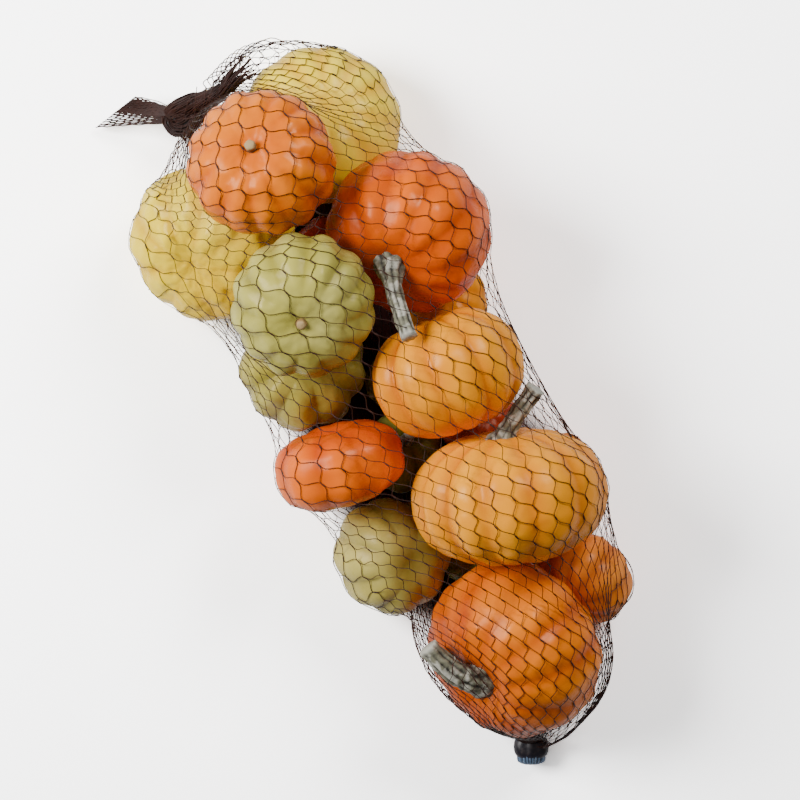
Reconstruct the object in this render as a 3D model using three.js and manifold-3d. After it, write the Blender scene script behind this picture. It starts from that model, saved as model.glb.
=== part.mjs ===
// A net bag of decorative gourds, lying on its side: 21 mini gourds and pumpkins in two
// layers, a tubular net drawn tight over them, a knot with a short tail at one end and a
// crimped clip at the other. Millimetres, +Z up. +Y is the knot end, the floor is z = 0 and
// the origin is the middle of the footprint.

import * as THREE from 'three';
import { ConvexGeometry } from 'three/addons/geometries/ConvexGeometry.js';
import { mergeVertices } from 'three/addons/utils/BufferGeometryUtils.js';
import Module from 'manifold-3d';

const wasm = await Module();
wasm.setup();

// ---------------------------------------------------------------- driving dimensions

const SQUARENESS = 2.3;       // exponent of a gourd's profile: 2 is an ellipse, more is squarer
const RIB_SHARPNESS = 0.7;    // below 1 the grooves are narrow and the ribs between them broad
const CAVITY_WIDTH = 0.38;    // radians from the stem over which the stem cavity opens
const SCAR_WIDTH = 0.30;      // the same for the hollow at the blossom end
const SEGMENTS_PER_RIB = 3;
const SEGMENTS_PER_NARROW_RIB = 2;
const NARROW_RIBS = 12;       // a gourd with this many ribs or more has narrow ones
const ROWS = 8;               // bands of facets from the stem end to the blossom end
const HIDDEN_ROWS = 6;        // the same on a gourd that others hide
const FLOOR = 0;              // gourds in the lower layer have a small flat spot here

const STEM_SIDES = 8;
const STEM_ROWS = 5;

const NET_INSET = 2.5;        // the net's solid stays this far inside the gourds' skins
const NET_CLEARANCE = 1.9;    // and is cut this far clear of them
const HIDDEN_CLEARANCE = 3.2; // the same for a hidden gourd, which is cut out more coarsely
const HIDDEN_CUT = [9, 5];    // facets round and along the hollow that it leaves
const HULL_FACETS = [10, 6];  // the same for the coarse gourds that the net is drawn over
const STEM_CLEARANCE = 0.6;
const NET_WINDOW = 40;        // length of bag over which the net is pulled straight
const NET_STEP = 20;          // distance from one such stretch to the next

const KNOT = { at: [-26.5, 185.5, 26], size: [11, 10, 9] };
const NECK = { from: [3, 182, 44], radius: 6.5 };
const TAIL = { tip: [-71.5, 204.5], corner: [-44, 207], root: 5.5, thickness: 3, height: [22, 4] };
// Where spare net stands off the gourds: a pleat beside the clip and a shoulder beside the knot.
const SPARE = {
  thickness: 5,
  pleat: [[38, -158, 40], [24, -184, 34], [-4, -197, 20]],
  shoulder: [[-6, 187, 38], [15, 193, 42], [38, 188, 41], [60, 172, 37]],
};
const CLIP = { at: [-29, -197, 9.5], width: 17.5, length: 13.5, height: 11, turn: -29 };

// Small gourds of the lower layer that the upper ones rest on and hide: name, colour, centre,
// radius across the ribs, half height, tilt and heading.
const LOW_GOURDS = [
  ['gourd_low_amber', 0xe8921a, [46, 33, 16.5], 22.5, 16, 15, 60],
  ['gourd_low_yellow', 0xe3c54e, [50, 76, 12.5], 20, 12.5, 8, -30],
  ['gourd_low_maroon', 0x8c2f18, [6, 84, 19], 20, 19, 20, 100],
  ['gourd_low_green', 0x6f7038, [2, 9, 14], 15, 14.5, 30, -160],
  ['gourd_low_orange', 0xe8701c, [-52, -14, 15], 18, 15, 12, 150],
  ['gourd_low_olive', 0x77763f, [-9, -93, 12], 14, 12.5, 10, -70],
  ['gourd_low_burnt', 0xc65f24, [57, -73, 13], 18, 13, 14, -20],
];

// Each gourd: centre, radius across its ribs, height of the half with the stem and of the half
// with the blossom scar, tilt of the stem from upright, heading of that tilt (degrees from +X),
// number of ribs, depth of the grooves and of the two hollows as shares of the radius, turn of
// the ribs about the axis, share by which it is out of round, and a seed for its unevenness.
const GOURDS = [
  { name: 'gourd_yellow_top', colour: 0xecd06a, at: [34.5, 143.5, 29.5], radius: 42, stemHalf: 29,
    scarHalf: 29, tilt: 14, heading: 31, ribs: 10, groove: 0.03, cavity: 0.14, scar: 0.14, turn: 0,
    uneven: 0.015, seed: 1 },
  { name: 'gourd_yellow_side', colour: 0xe3c54e, at: [-45.5, 117, 35], radius: 43, stemHalf: 31,
    scarHalf: 31, tilt: 35, heading: -154, ribs: 9, groove: 0.05, cavity: 0.2, scar: 0.14, turn: 0,
    uneven: 0.02, seed: 2 },
  { name: 'gourd_orange_top', colour: 0xee7b22, at: [-2.5, 134, 95], radius: 37, stemHalf: 28,
    scarHalf: 28, tilt: 16, heading: 98, ribs: 13, groove: 0.06, cavity: 0.12, scar: 0.14, turn: 0,
    uneven: 0.02, seed: 3 },
  { name: 'gourd_red_orange', colour: 0xe0561a, at: [45, 71, 64], radius: 41.5,
    stemHalf: 35, scarHalf: 35, tilt: 42, heading: -144, ribs: 12, groove: 0.045, cavity: 0.14,
    scar: 0.14, turn: 0, uneven: 0.015, seed: 4 },
  { name: 'gourd_olive_top', colour: 0xa3a05a, at: [-18.5, 62.5, 92], radius: 36.5, stemHalf: 27,
    scarHalf: 27, tilt: 24, heading: -124, ribs: 12, groove: 0.065, cavity: 0.12, scar: 0.14,
    turn: 0, uneven: 0.02, seed: 5 },
  { name: 'gourd_olive_side', colour: 0x9c994e, at: [-36, 38, 31], radius: 33.5, stemHalf: 30,
    scarHalf: 30, tilt: 8, heading: 14, ribs: 9, groove: 0.08, cavity: 0.14, scar: 0.14,
    turn: 0, uneven: 0.02, seed: 6 },
  { name: 'gourd_amber_middle', colour: 0xee9317, at: [27.5, -1, 72], radius: 39, stemHalf: 31,
    scarHalf: 31, tilt: 84, heading: 82, ribs: 10, groove: 0.045, cavity: 0.18, scar: 0.16,
    turn: 0, uneven: 0.02, seed: 7 },
  { name: 'gourd_amber_large', colour: 0xf09a14, at: [24.5, -71, 72], radius: 50, stemHalf: 34,
    scarHalf: 34, tilt: 84, heading: 68, ribs: 12, groove: 0.03, cavity: 0.16, scar: 0.14,
    turn: 0, uneven: 0.02, seed: 8 },
  { name: 'gourd_orange_small', colour: 0xe8681c, at: [-42, -15.5, 66], radius: 33, stemHalf: 20,
    scarHalf: 20, tilt: 80, heading: 75, ribs: 9, groove: 0.06, cavity: 0.34, scar: 0.14,
    turn: 0, uneven: 0.02, seed: 9 },
  { name: 'gourd_olive_end', colour: 0x9a984a, at: [-42.5, -70, 29.5], radius: 30.5,
    stemHalf: 28, scarHalf: 28, tilt: 24, heading: -48, ribs: 8, groove: 0.07, cavity: 0.08,
    scar: 0.14, turn: 0, uneven: 0.03, seed: 10 },
  { name: 'gourd_orange_end', colour: 0xe9791f, at: [-9.5, -141.5, 46], radius: 47, stemHalf: 38,
    scarHalf: 34, tilt: 52, heading: -172, ribs: 12, groove: 0.03, cavity: 0.26, scar: 0.14,
    turn: 0, uneven: 0.015, seed: 11 },
  { name: 'gourd_burnt_orange', colour: 0xc65f24, at: [38, -130, 23.5], radius: 26.5,
    stemHalf: 20, scarHalf: 20, tilt: 50, heading: -159, ribs: 10, groove: 0.04, cavity: 0.2,
    scar: 0.14, turn: 0, uneven: 0.015, seed: 12 },
  { name: 'gourd_deep_red', colour: 0x9c2b12, at: [30.5, -30.5, 16.5], radius: 21, stemHalf: 16,
    scarHalf: 16, tilt: 20, heading: 16, ribs: 10, groove: 0.04, cavity: 0.2, scar: 0.14,
    turn: 0, uneven: 0.01, seed: 13 },
  { name: 'gourd_olive_inner', colour: 0x77763f, at: [-12.5, -26.5, 20.5], radius: 21.5,
    stemHalf: 18, scarHalf: 18, tilt: 30, heading: 41, ribs: 10, groove: 0.04, cavity: 0.2,
    scar: 0.14, turn: 0, uneven: 0.01, seed: 14 },
  ...LOW_GOURDS.map(([name, colour, at, radius, half, tilt, heading], i) => ({
    name, colour, at, radius, stemHalf: half, scarHalf: half, tilt, heading, ribs: 9,
    groove: 0.04, cavity: 0.2, scar: 0.14, turn: 0, uneven: 0.015, seed: 15 + i, hidden: true,
  })),
];

// Stems that show: where each one ends, where it bends, and its radius from root to tip.
const STEMS = {
  gourd_orange_top: { rise: 5, tip: null, radii: [2.6, 2.2, 2.2] },
  gourd_olive_top: { rise: 3, tip: null, radii: [3, 2.6, 2] },
  gourd_red_orange: { rise: 9, tip: [19, 23, 109], radii: [8, 4.6, 4] },
  gourd_amber_large: { rise: 4, tip: [62.5, -29.5, 83], radii: [8, 5.5, 5.5] },
  gourd_orange_end: { rise: 14, tip: [-48.5, -117, 76], radii: [9, 7.5, 6.5] },
  gourd_olive_inner: { rise: 8, tip: null, radii: [4.5, 3.2, 3] },
};

// ---------------------------------------------------------------- solids

function toManifold(geometry) {
  const bare = geometry.clone();
  bare.deleteAttribute('normal');
  bare.deleteAttribute('uv');
  const welded = mergeVertices(bare, 1e-4);
  return new wasm.Manifold(new wasm.Mesh({
    numProp: 3,
    vertProperties: new Float32Array(welded.attributes.position.array),
    triVerts: new Uint32Array(welded.index.array),
  }));
}

function toGeometry(manifold) {
  const mesh = manifold.getMesh();
  const geometry = new THREE.BufferGeometry();
  geometry.setAttribute('position', new THREE.BufferAttribute(new Float32Array(mesh.vertProperties), 3));
  geometry.setIndex(new THREE.BufferAttribute(new Uint32Array(mesh.triVerts), 1));
  geometry.computeVertexNormals();
  return geometry;
}

function union(manifolds) {
  return manifolds.reduce((whole, next) => whole.add(next));
}

// The biggest of the bodies that a cut leaves, without its loose scraps.
function largestBody(manifold) {
  const bodies = manifold.decompose();
  bodies.sort((a, b) => b.volume() - a.volume());
  return bodies[0];
}

// ---------------------------------------------------------------- gourds

// A fixed phase for one harmonic of a gourd's unevenness.
function phase(seed, harmonic) {
  const turns = seed * 0.618 + harmonic * harmonic * 0.318;
  return 2 * Math.PI * (turns - Math.floor(turns));
}

// How far the ribs wander from an even spacing, in radians.
function ribDrift(gourd, around) {
  let drift = 0;
  for (let k = 1; k <= 3; k += 1) {
    drift += (0.06 / k) * Math.sin(k * around + phase(gourd.seed, k));
  }
  return drift;
}

function smoothStep(low, high, value) {
  const t = Math.min(1, Math.max(0, (value - low) / (high - low)));
  return t * t * (3 - 2 * t);
}

// Distance from the gourd's centre to its skin, at an angle around its axis and an angle down
// from the stem end.
function skinRadius(gourd, around, down) {
  const across = Math.sin(down);
  const along = Math.cos(down);
  const half = along > 0 ? gourd.stemHalf : gourd.scarHalf;
  let skin = ((across / gourd.radius) ** SQUARENESS + (Math.abs(along) / half) ** SQUARENESS)
    ** (-1 / SQUARENESS);
  skin *= 1 - gourd.cavity * Math.exp(-((down / CAVITY_WIDTH) ** 2));
  skin *= 1 - gourd.scar * Math.exp(-(((Math.PI - down) / SCAR_WIDTH) ** 2));
  const ribAngle = around + ribDrift(gourd, around) + THREE.MathUtils.degToRad(gourd.turn);
  const grooved = 1 - Math.abs(Math.sin((gourd.ribs * ribAngle) / 2)) ** RIB_SHARPNESS;
  skin *= 1 - gourd.groove * smoothStep(0.08, 0.58, across) * grooved;
  let lumps = 0;
  for (let k = 1; k <= 3; k += 1) {
    lumps += (gourd.uneven / k) * Math.cos(k * around + phase(gourd.seed, k + 3));
  }
  return skin * (1 + lumps * across);
}

// The gourd's own frame: z runs from the blossom scar to the stem, x is on the low side.
function gourdMatrix(gourd) {
  const tilt = THREE.MathUtils.degToRad(gourd.tilt);
  const heading = THREE.MathUtils.degToRad(gourd.heading);
  const matrix = new THREE.Matrix4().makeRotationZ(heading);
  matrix.multiply(new THREE.Matrix4().makeRotationY(tilt));
  matrix.setPosition(...gourd.at);
  return matrix;
}

// Facet lines follow the ribs, so each groove and each crest has its own line of vertices.
// grow moves the whole skin outwards, or inwards where it is negative.
function skinGeometry(gourd, segments, rows, grow = 0) {
  const sphere = new THREE.SphereGeometry(1, segments, rows);
  const position = sphere.attributes.position;
  for (let i = 0; i < position.count; i += 1) {
    const down = Math.acos(THREE.MathUtils.clamp(position.getY(i), -1, 1));
    const even = Math.atan2(-position.getZ(i), position.getX(i));
    const ribAngle = even - THREE.MathUtils.degToRad(gourd.turn);
    let around = ribAngle;
    for (let step = 0; step < 12; step += 1) {
      around = ribAngle - ribDrift(gourd, around);
    }
    const reach = skinRadius(gourd, around, down) + grow;
    position.setXYZ(
      i,
      reach * Math.sin(down) * Math.cos(around),
      reach * Math.sin(down) * Math.sin(around),
      reach * Math.cos(down),
    );
  }
  return sphere;
}

// A stem: a cylinder bent along a curve, flared where it joins the gourd. grow makes it fatter
// and longer.
function stemGeometry(gourd, stem, grow = 0) {
  const rootHeight = gourd.stemHalf * (1 - gourd.cavity) - 2.5;
  const toGourd = gourdMatrix(gourd).invert();
  const root = new THREE.Vector3(0, 0, rootHeight);
  const bend = new THREE.Vector3(0, 0, rootHeight + 2.5 + stem.rise);
  const path = stem.tip
    ? new THREE.QuadraticBezierCurve3(root, bend, new THREE.Vector3(...stem.tip).applyMatrix4(toGourd))
    : new THREE.LineCurve3(root, bend);
  const widths = new THREE.SplineCurve(stem.radii.map((r, i) => new THREE.Vector2(i, r)));
  const tube = new THREE.CylinderGeometry(1, 1, 1, STEM_SIDES, STEM_ROWS);
  const position = tube.attributes.position;
  for (let i = 0; i < position.count; i += 1) {
    const t = position.getY(i) + 0.5;
    const forward = path.getTangent(t);
    const side = new THREE.Vector3(0, 1, 0).cross(forward).normalize();
    const up = forward.clone().cross(side);
    const reach = widths.getPoint(t).y + grow;
    const point = path.getPoint(t);
    if (t > 0.999) {
      point.addScaledVector(forward, grow);
    }
    point.addScaledVector(side, position.getX(i) * reach);
    point.addScaledVector(up, -position.getZ(i) * reach);
    position.setXYZ(i, point.x, point.y, point.z);
  }
  return tube;
}

// The gourd with its stem as one solid, in its own frame, cut flat where it meets the floor.
function gourdSolid(gourd) {
  const narrow = gourd.hidden || gourd.ribs >= NARROW_RIBS;
  const segments = gourd.ribs * (narrow ? SEGMENTS_PER_NARROW_RIB : SEGMENTS_PER_RIB);
  let solid = toManifold(skinGeometry(gourd, segments, gourd.hidden ? HIDDEN_ROWS : ROWS));
  if (STEMS[gourd.name]) {
    solid = solid.add(toManifold(stemGeometry(gourd, STEMS[gourd.name])));
  }
  const ground = new THREE.BoxGeometry(400, 400, 100);
  ground.translate(gourd.at[0], gourd.at[1], FLOOR - 50);
  ground.applyMatrix4(gourdMatrix(gourd).invert());
  return solid.subtract(toManifold(ground));
}

// ---------------------------------------------------------------- clip

// A crimped band round the bunched end of the net.
function clipGeometry(grow = 0) {
  const half = CLIP.width / 2 + grow;
  const height = CLIP.height / 2 + grow;
  const outline = new THREE.Shape();
  outline.moveTo(-half, -height * 0.45);
  outline.quadraticCurveTo(-half, -height, -half * 0.6, -height);
  outline.lineTo(half * 0.6, -height);
  outline.quadraticCurveTo(half, -height, half, -height * 0.45);
  outline.lineTo(half * 0.9, height * 0.5);
  outline.quadraticCurveTo(half * 0.8, height, half * 0.4, height);
  outline.lineTo(-half * 0.4, height);
  outline.quadraticCurveTo(-half * 0.8, height, -half * 0.9, height * 0.5);
  outline.closePath();
  const band = new THREE.ExtrudeGeometry(outline, {
    depth: CLIP.length - 3 + 2 * grow,
    bevelEnabled: true,
    bevelThickness: 1.5,
    bevelSize: 1.2,
    bevelOffset: -1.2,
    bevelSegments: 1,
    curveSegments: 3,
  });
  band.translate(0, 0, -(CLIP.length - 3) / 2 - grow);
  band.rotateX(Math.PI / 2);
  band.rotateZ(THREE.MathUtils.degToRad(CLIP.turn));
  band.translate(...CLIP.at);
  return band;
}

// ---------------------------------------------------------------- net

function pointsOf(geometry) {
  const position = geometry.attributes.position;
  const points = [];
  for (let i = 0; i < position.count; i += 1) {
    points.push(new THREE.Vector3().fromBufferAttribute(position, i));
  }
  return points;
}

function lump(at, size) {
  const shape = new THREE.SphereGeometry(1, 10, 6);
  shape.scale(...size);
  shape.translate(...at);
  return shape;
}

// Everything that the net is stretched over, as loose points just under the skins.
function netPoints() {
  const points = [];
  for (const gourd of GOURDS) {
    const skin = skinGeometry(gourd, ...HULL_FACETS, -NET_INSET);
    skin.applyMatrix4(gourdMatrix(gourd));
    points.push(...pointsOf(skin));
    if (STEMS[gourd.name] && STEMS[gourd.name].tip) {
      points.push(new THREE.Vector3(...STEMS[gourd.name].tip));
    }
  }
  points.push(...pointsOf(clipGeometry(-0.5)));
  points.push(...pointsOf(lump(KNOT.at, KNOT.size)));
  points.push(...pointsOf(lump(NECK.from, [NECK.radius, NECK.radius, NECK.radius])));
  for (const at of [...SPARE.pleat, ...SPARE.shoulder]) {
    points.push(...pointsOf(lump(at, Array(3).fill(SPARE.thickness / 2))));
  }
  return points;
}

// The flat fan of net that is left past the knot, cut off at a slant.
function tailGeometry() {
  const [kx, ky] = KNOT.at;
  const outline = new THREE.Shape();
  outline.moveTo(kx + 2, ky + TAIL.root);
  outline.lineTo(...TAIL.corner);
  outline.lineTo(...TAIL.tip);
  outline.lineTo(kx - 2, ky - TAIL.root);
  outline.closePath();
  const fan = new THREE.ExtrudeGeometry(outline, { depth: TAIL.thickness, bevelEnabled: false });
  const position = fan.attributes.position;
  const run = Math.hypot(TAIL.tip[0] - kx, TAIL.tip[1] - ky);
  for (let i = 0; i < position.count; i += 1) {
    const away = Math.hypot(position.getX(i) - kx, position.getY(i) - ky) / run;
    const drop = THREE.MathUtils.lerp(TAIL.height[0], TAIL.height[1], Math.min(1, away));
    position.setZ(i, position.getZ(i) + drop - TAIL.thickness / 2);
  }
  return fan;
}

// The net is drawn straight from gourd to gourd, so its solid is the space between them: one
// hull for each short stretch of the bag, with the gourds and the clip cut out again.
function netSolid() {
  const points = netPoints();
  const first = Math.min(...points.map((p) => p.y));
  const last = Math.max(...points.map((p) => p.y));
  const hulls = [];
  for (let low = first; low < last - NET_WINDOW / 2; low += NET_STEP) {
    const inside = points.filter((p) => p.y >= low - 1 && p.y <= low + NET_WINDOW);
    hulls.push(toManifold(new ConvexGeometry(inside)));
  }
  const cutters = GOURDS.map((gourd) => {
    const skin = gourd.hidden
      ? skinGeometry(gourd, ...HIDDEN_CUT, HIDDEN_CLEARANCE)
      : skinGeometry(gourd, gourd.ribs * 2, ROWS, NET_CLEARANCE);
    skin.applyMatrix4(gourdMatrix(gourd));
    return toManifold(new ConvexGeometry(pointsOf(skin)));
  });
  for (const gourd of GOURDS) {
    if (STEMS[gourd.name]) {
      const shape = stemGeometry(gourd, STEMS[gourd.name], STEM_CLEARANCE);
      shape.applyMatrix4(gourdMatrix(gourd));
      cutters.push(toManifold(shape));
    }
  }
  cutters.push(toManifold(clipGeometry(0.4)));
  const body = union(hulls).subtract(union(cutters));
  const neck = toManifold(new ConvexGeometry([
    ...pointsOf(lump(KNOT.at, KNOT.size)),
    ...pointsOf(lump(NECK.from, [NECK.radius, NECK.radius, NECK.radius])),
  ]));
  const gathered = union([neck, toManifold(tailGeometry())]).subtract(union(cutters));
  return largestBody(union([body, gathered]));
}

// ---------------------------------------------------------------- the part

function material(colour, roughness) {
  return new THREE.MeshStandardMaterial({ color: colour, roughness, metalness: 0 });
}

const part = new THREE.Group();

for (const gourd of GOURDS) {
  const mesh = new THREE.Mesh(toGeometry(gourdSolid(gourd)), material(gourd.colour, 0.4));
  mesh.name = gourd.name;
  mesh.applyMatrix4(gourdMatrix(gourd));
  part.add(mesh);
}

const clip = new THREE.Mesh(toGeometry(toManifold(clipGeometry())), material(0x16161c, 0.3));
clip.name = 'end_clip';
part.add(clip);

const net = new THREE.Mesh(toGeometry(netSolid()), material(0x3a2228, 0.5));
net.name = 'net';
part.add(net);

export default part;
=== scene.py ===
"""Looks for a net bag of decorative gourds: waxy skins, corky stalks, a tubular net with its
gathered neck, knot and tail, and the band that crimps its other end.

Lengths in the tables are millimetres, in the CAD's own frame: +Y towards the knot, +Z up, the
floor at z = 0. Meshes are metres.
"""

import math

import bmesh
import bpy
import numpy as np
from mathutils import Matrix, Vector, noise


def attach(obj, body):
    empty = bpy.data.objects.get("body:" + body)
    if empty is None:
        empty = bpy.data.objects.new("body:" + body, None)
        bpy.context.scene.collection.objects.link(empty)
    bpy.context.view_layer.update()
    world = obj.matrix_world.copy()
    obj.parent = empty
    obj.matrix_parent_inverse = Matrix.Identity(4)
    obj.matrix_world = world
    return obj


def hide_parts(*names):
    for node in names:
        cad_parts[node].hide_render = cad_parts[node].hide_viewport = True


bl_info = {
    "name": "Net of decorative gourds",
    "version": (1, 0, 0),
    "blender": (4, 5, 0),
    "location": "3D View > Sidebar > Gourds",
    "description": "Builds gourds in a knotted net bag around their packed solids",
    "category": "Add Mesh",
}

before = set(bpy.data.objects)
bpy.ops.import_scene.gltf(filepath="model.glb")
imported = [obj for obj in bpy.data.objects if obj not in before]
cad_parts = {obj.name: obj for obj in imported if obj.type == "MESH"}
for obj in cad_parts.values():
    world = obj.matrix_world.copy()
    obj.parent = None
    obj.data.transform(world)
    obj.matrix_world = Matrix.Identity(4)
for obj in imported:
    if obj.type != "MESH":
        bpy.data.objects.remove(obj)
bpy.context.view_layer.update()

MM = 0.001
BODY = "root"

# ------------------------------------------------------------------ sizes

SQUARENESS = 2.3        # exponent of a gourd's profile: 2 is an ellipse, more is squarer
SQUARER = {"gourd_orange_small": 2.8, "gourd_red_orange": 2.5}
CAVITY_WIDTH = 0.38     # radians from the stem over which the stem cavity opens
SCAR_WIDTH = 0.30       # the same for the hollow at the blossom end
RESTING_HEIGHT = 0.5    # the net's strands lift the lowest skins this far off the floor
LUMP_SIZE = 13.0        # spacing of the soft lumps of a skin
BLUSH_SHADE_PATCH = 22.0      # spacing of the ragged patches along the edge of a flush and its painted shade
HOLLOW_SHADE = 0.75     # how much of the grooves' colour the hollows take, as painted shade in the cavity and the scar
CAVITY_SHADE_WIDTH = 0.5            # radians from the stem over which that painted shade fades
SCAR_SHADE_WIDTH = 0.4  # the same at the blossom end
BLUSH_SHADE_RAGGED = 0.25     # how far the ragged patches move the edge of that flush and painted shade
BLUSH_SHADE_EDGE = (-0.35, 0.85)          # how squarely the skin faces it where that flush and painted shade set in and are full
SKIN_ROUGHNESS = 0.27
SKIN_SPECULAR = 0.2
SKIN_GLINT = (1.0, 0.82, 0.6, 1.0)  # the wax reflects warm light
SKIN_BUMP = (0.3, 0.0005)           # strength and height in metres of its fine grain

# Each gourd: centre, radius across its ribs, height of the half with the stem and of the half
# with the blossom scar, tilt of the stem from upright, heading of that tilt, number of ribs,
# depth of the grooves and of the two hollows as shares of the radius, turn of the ribs, share
# by which it is out of round, seed, height of its lumps, height of the knobs along its ribs and
# how many of them follow each other in half a turn, the heading of its deeper grooves with how
# much deeper they are, the exponent of a rib's section (low is a narrow sharp groove, high a
# soft one), and between which shares of the full girth its grooves set in.
FIELDS = (
    "node", "at", "radius", "stem_half", "scar_half", "tilt", "heading", "ribs", "groove",
    "cavity", "scar", "turn", "uneven", "seed", "lumps", "knobs", "knob_count", "deep",
    "soft", "shoulder",
)
GOURDS = [dict(zip(FIELDS, row)) for row in (
    ("gourd_yellow_top", (34.5, 143.5, 29.5), 42, 29, 29, 14, 31, 10, 0.03, 0.14, 0.14, 0,
     0.015, 1, 0.5, 0.1, 7, (0, 0), 1.5, (0.2, 0.8)),
    ("gourd_yellow_side", (-45.5, 117, 35), 43, 31, 31, 35, -154, 9, 0.05, 0.2, 0.14, 0,
     0.02, 2, 1.7, 0.4, 9, (0, 0), 1.1, (0.2, 0.8)),
    ("gourd_orange_top", (-2.5, 134, 95), 37, 28, 28, 16, 98, 13, 0.05, 0.12, 0.14, 0,
     0.02, 3, 1.0, 0.3, 7, (0, 0), 1.2, (0.4, 0.95)),
    ("gourd_red_orange", (45, 71, 64), 41.5, 35, 35, 42, -144, 12, 0.035, 0.14, 0.14, 0,
     0.015, 4, 0.7, 0.15, 9, (0, 0), 1.2, (0.25, 0.85)),
    ("gourd_olive_top", (-18.5, 62.5, 92), 36.5, 27, 27, 24, -124, 12, 0.055, 0.12, 0.14, 0,
     0.02, 5, 0.9, 0.3, 7, (0, 0), 1.2, (0.45, 0.95)),
    ("gourd_olive_side", (-36, 38, 31), 33.5, 30, 30, 8, 14, 9, 0.08, 0.14, 0.14, 0,
     0.02, 6, 1.0, 0.4, 6, (0, 0), 1.0, (0.3, 0.8)),
    ("gourd_amber_middle", (27.5, -1, 72), 39, 31, 31, 84, 82, 10, 0.05, 0.18, 0.16, 11,
     0.02, 7, 0.5, 0.1, 8, (150, 2.4), 0.8, (0.15, 0.6)),
    ("gourd_amber_large", (24.5, -71, 72), 50, 34, 34, 84, 68, 12, 0.035, 0.16, 0.14, -10,
     0.02, 8, 0.7, 0.1, 8, (150, 1.6), 1.1, (0.2, 0.75)),
    ("gourd_orange_small", (-42, -15.5, 66), 33, 20, 20, 80, 75, 9, 0.04, 0.34, 0.14, 0,
     0.02, 9, 0.6, 0.15, 8, (0, 0), 1.3, (0.3, 0.9)),
    ("gourd_olive_end", (-42.5, -70, 29.5), 30.5, 28, 28, 24, -48, 8, 0.07, 0.08, 0.14, 0,
     0.03, 10, 0.3, 0.12, 6, (0, 0), 0.9, (0.35, 0.85)),
    ("gourd_orange_end", (-9.5, -141.5, 46), 47, 38, 34, 52, -172, 12, 0.03, 0.26, 0.14, 0,
     0.015, 11, 0.9, 0.15, 10, (0, 0), 1.3, (0.3, 0.9)),
    ("gourd_burnt_orange", (38, -130, 23.5), 26.5, 20, 20, 50, -159, 10, 0.04, 0.2, 0.14, 0,
     0.015, 12, 0.3, 0.1, 8, (0, 0), 1.2, (0.2, 0.8)),
    ("gourd_deep_red", (30.5, -30.5, 16.5), 21, 16, 16, 20, 16, 10, 0.04, 0.2, 0.14, 0,
     0.01, 13, 0.3, 0.1, 8, (0, 0), 1.2, (0.2, 0.8)),
    ("gourd_olive_inner", (-12.5, -26.5, 20.5), 21.5, 18, 18, 30, 41, 10, 0.04, 0.2, 0.14, 0,
     0.01, 14, 0.3, 0.1, 8, (0, 0), 1.2, (0.2, 0.8)),
)]

# Small gourds of the lower layer that the upper ones rest on and hide: node, centre, radius,
# half height, tilt, heading, and the gourd whose skin theirs is like.
LOW_GOURDS = (
    ("gourd_low_amber", (46, 33, 16.5), 22.5, 16, 15, 60, "gourd_amber_large"),
    ("gourd_low_yellow", (50, 76, 12.5), 20, 12.5, 8, -30, "gourd_yellow_side"),
    ("gourd_low_maroon", (6, 84, 19), 20, 19, 20, 100, "gourd_deep_red"),
    ("gourd_low_green", (2, 9, 14), 15, 14.5, 30, -160, "gourd_olive_inner"),
    ("gourd_low_orange", (-52, -14, 15), 18, 15, 12, 150, "gourd_orange_small"),
    ("gourd_low_olive", (-9, -93, 12), 14, 12.5, 10, -70, "gourd_olive_inner"),
    ("gourd_low_burnt", (57, -73, 13), 18, 13, 14, -20, "gourd_burnt_orange"),
)
for seed, (node, at, radius, half, tilt, heading, _) in enumerate(LOW_GOURDS, 15):
    GOURDS.append(dict(zip(FIELDS, (
        node, at, radius, half, half, tilt, heading, 9, 0.04, 0.2, 0.14, 0, 0.015, seed, 0.3,
        0.1, 7, (0, 0), 1.2, (0.2, 0.8),
    ))))

# Broad dents: the direction from the gourd's centre, how wide in radians and how deep.
DENTS = {
    "gourd_orange_small": (((-0.24, 0.97, 0.0), 0.3, 0.2), ((0.5, -0.8, 0.3), 0.6, 0.05)),
    "gourd_olive_side": (((0.05, 0.3, 1.0), 0.35, 0.06),),
    "gourd_orange_top": (((0.45, -0.85, 0.3), 0.22, 0.05),),
}

# Stalks: the rise before the bend, where a bent one ends, and its radius from root to tip.
STEMS = {
    "gourd_orange_top": dict(rise=5, tip=None, radii=(2.4, 2.4, 2.9), finish="peg"),
    "gourd_olive_top": dict(rise=3, tip=None, radii=(3, 2.6, 2.2), finish="peg"),
    "gourd_red_orange": dict(rise=9, tip=(19, 23, 109), radii=(8, 4.6, 4), finish="corky"),
    "gourd_amber_large": dict(rise=4, tip=(62.5, -29.5, 83), radii=(8, 4.7, 4.8), finish="corky"),
    "gourd_orange_end": dict(rise=14, tip=(-48.5, -117, 76), radii=(10, 6.4, 5), finish="corky"),
    "gourd_olive_inner": dict(rise=8, tip=None, radii=(4.5, 3.2, 3), finish="corky"),
}

NEVER_FORWARD = (0.1, 0.2, 1.0)     # a direction in which no stalk, band or bundle starts
STEM_DEPTH = 2.5        # how far under the skin a stalk starts
STALK_FLARE = 0.45      # how much wider its foot is, as a share of its radius
FURROWS = 8
FURROW_WINDING = 2.2    # radians by which they wind from root to tip
FURROW_DEPTH = 0.2      # share of the radius
STALK_LUMPS = 0.16      # height of a stalk's lumps, as a share of its radius
STALK_BUMP = (0.6, 0.0008)          # strength and height in metres of its fine grain

# Colours (sRGB) of a stalk's cork, its furrows (their own darker tone with painted shade; on a
# peg, painted shade round its foot) and its pale ridges.
CORKY_COLOURS = ("#777560", "#232118", "#CBC9BB")
PEG_COLOURS = ("#8C6C3C", "#4A3618", "#A88C5E")
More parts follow.
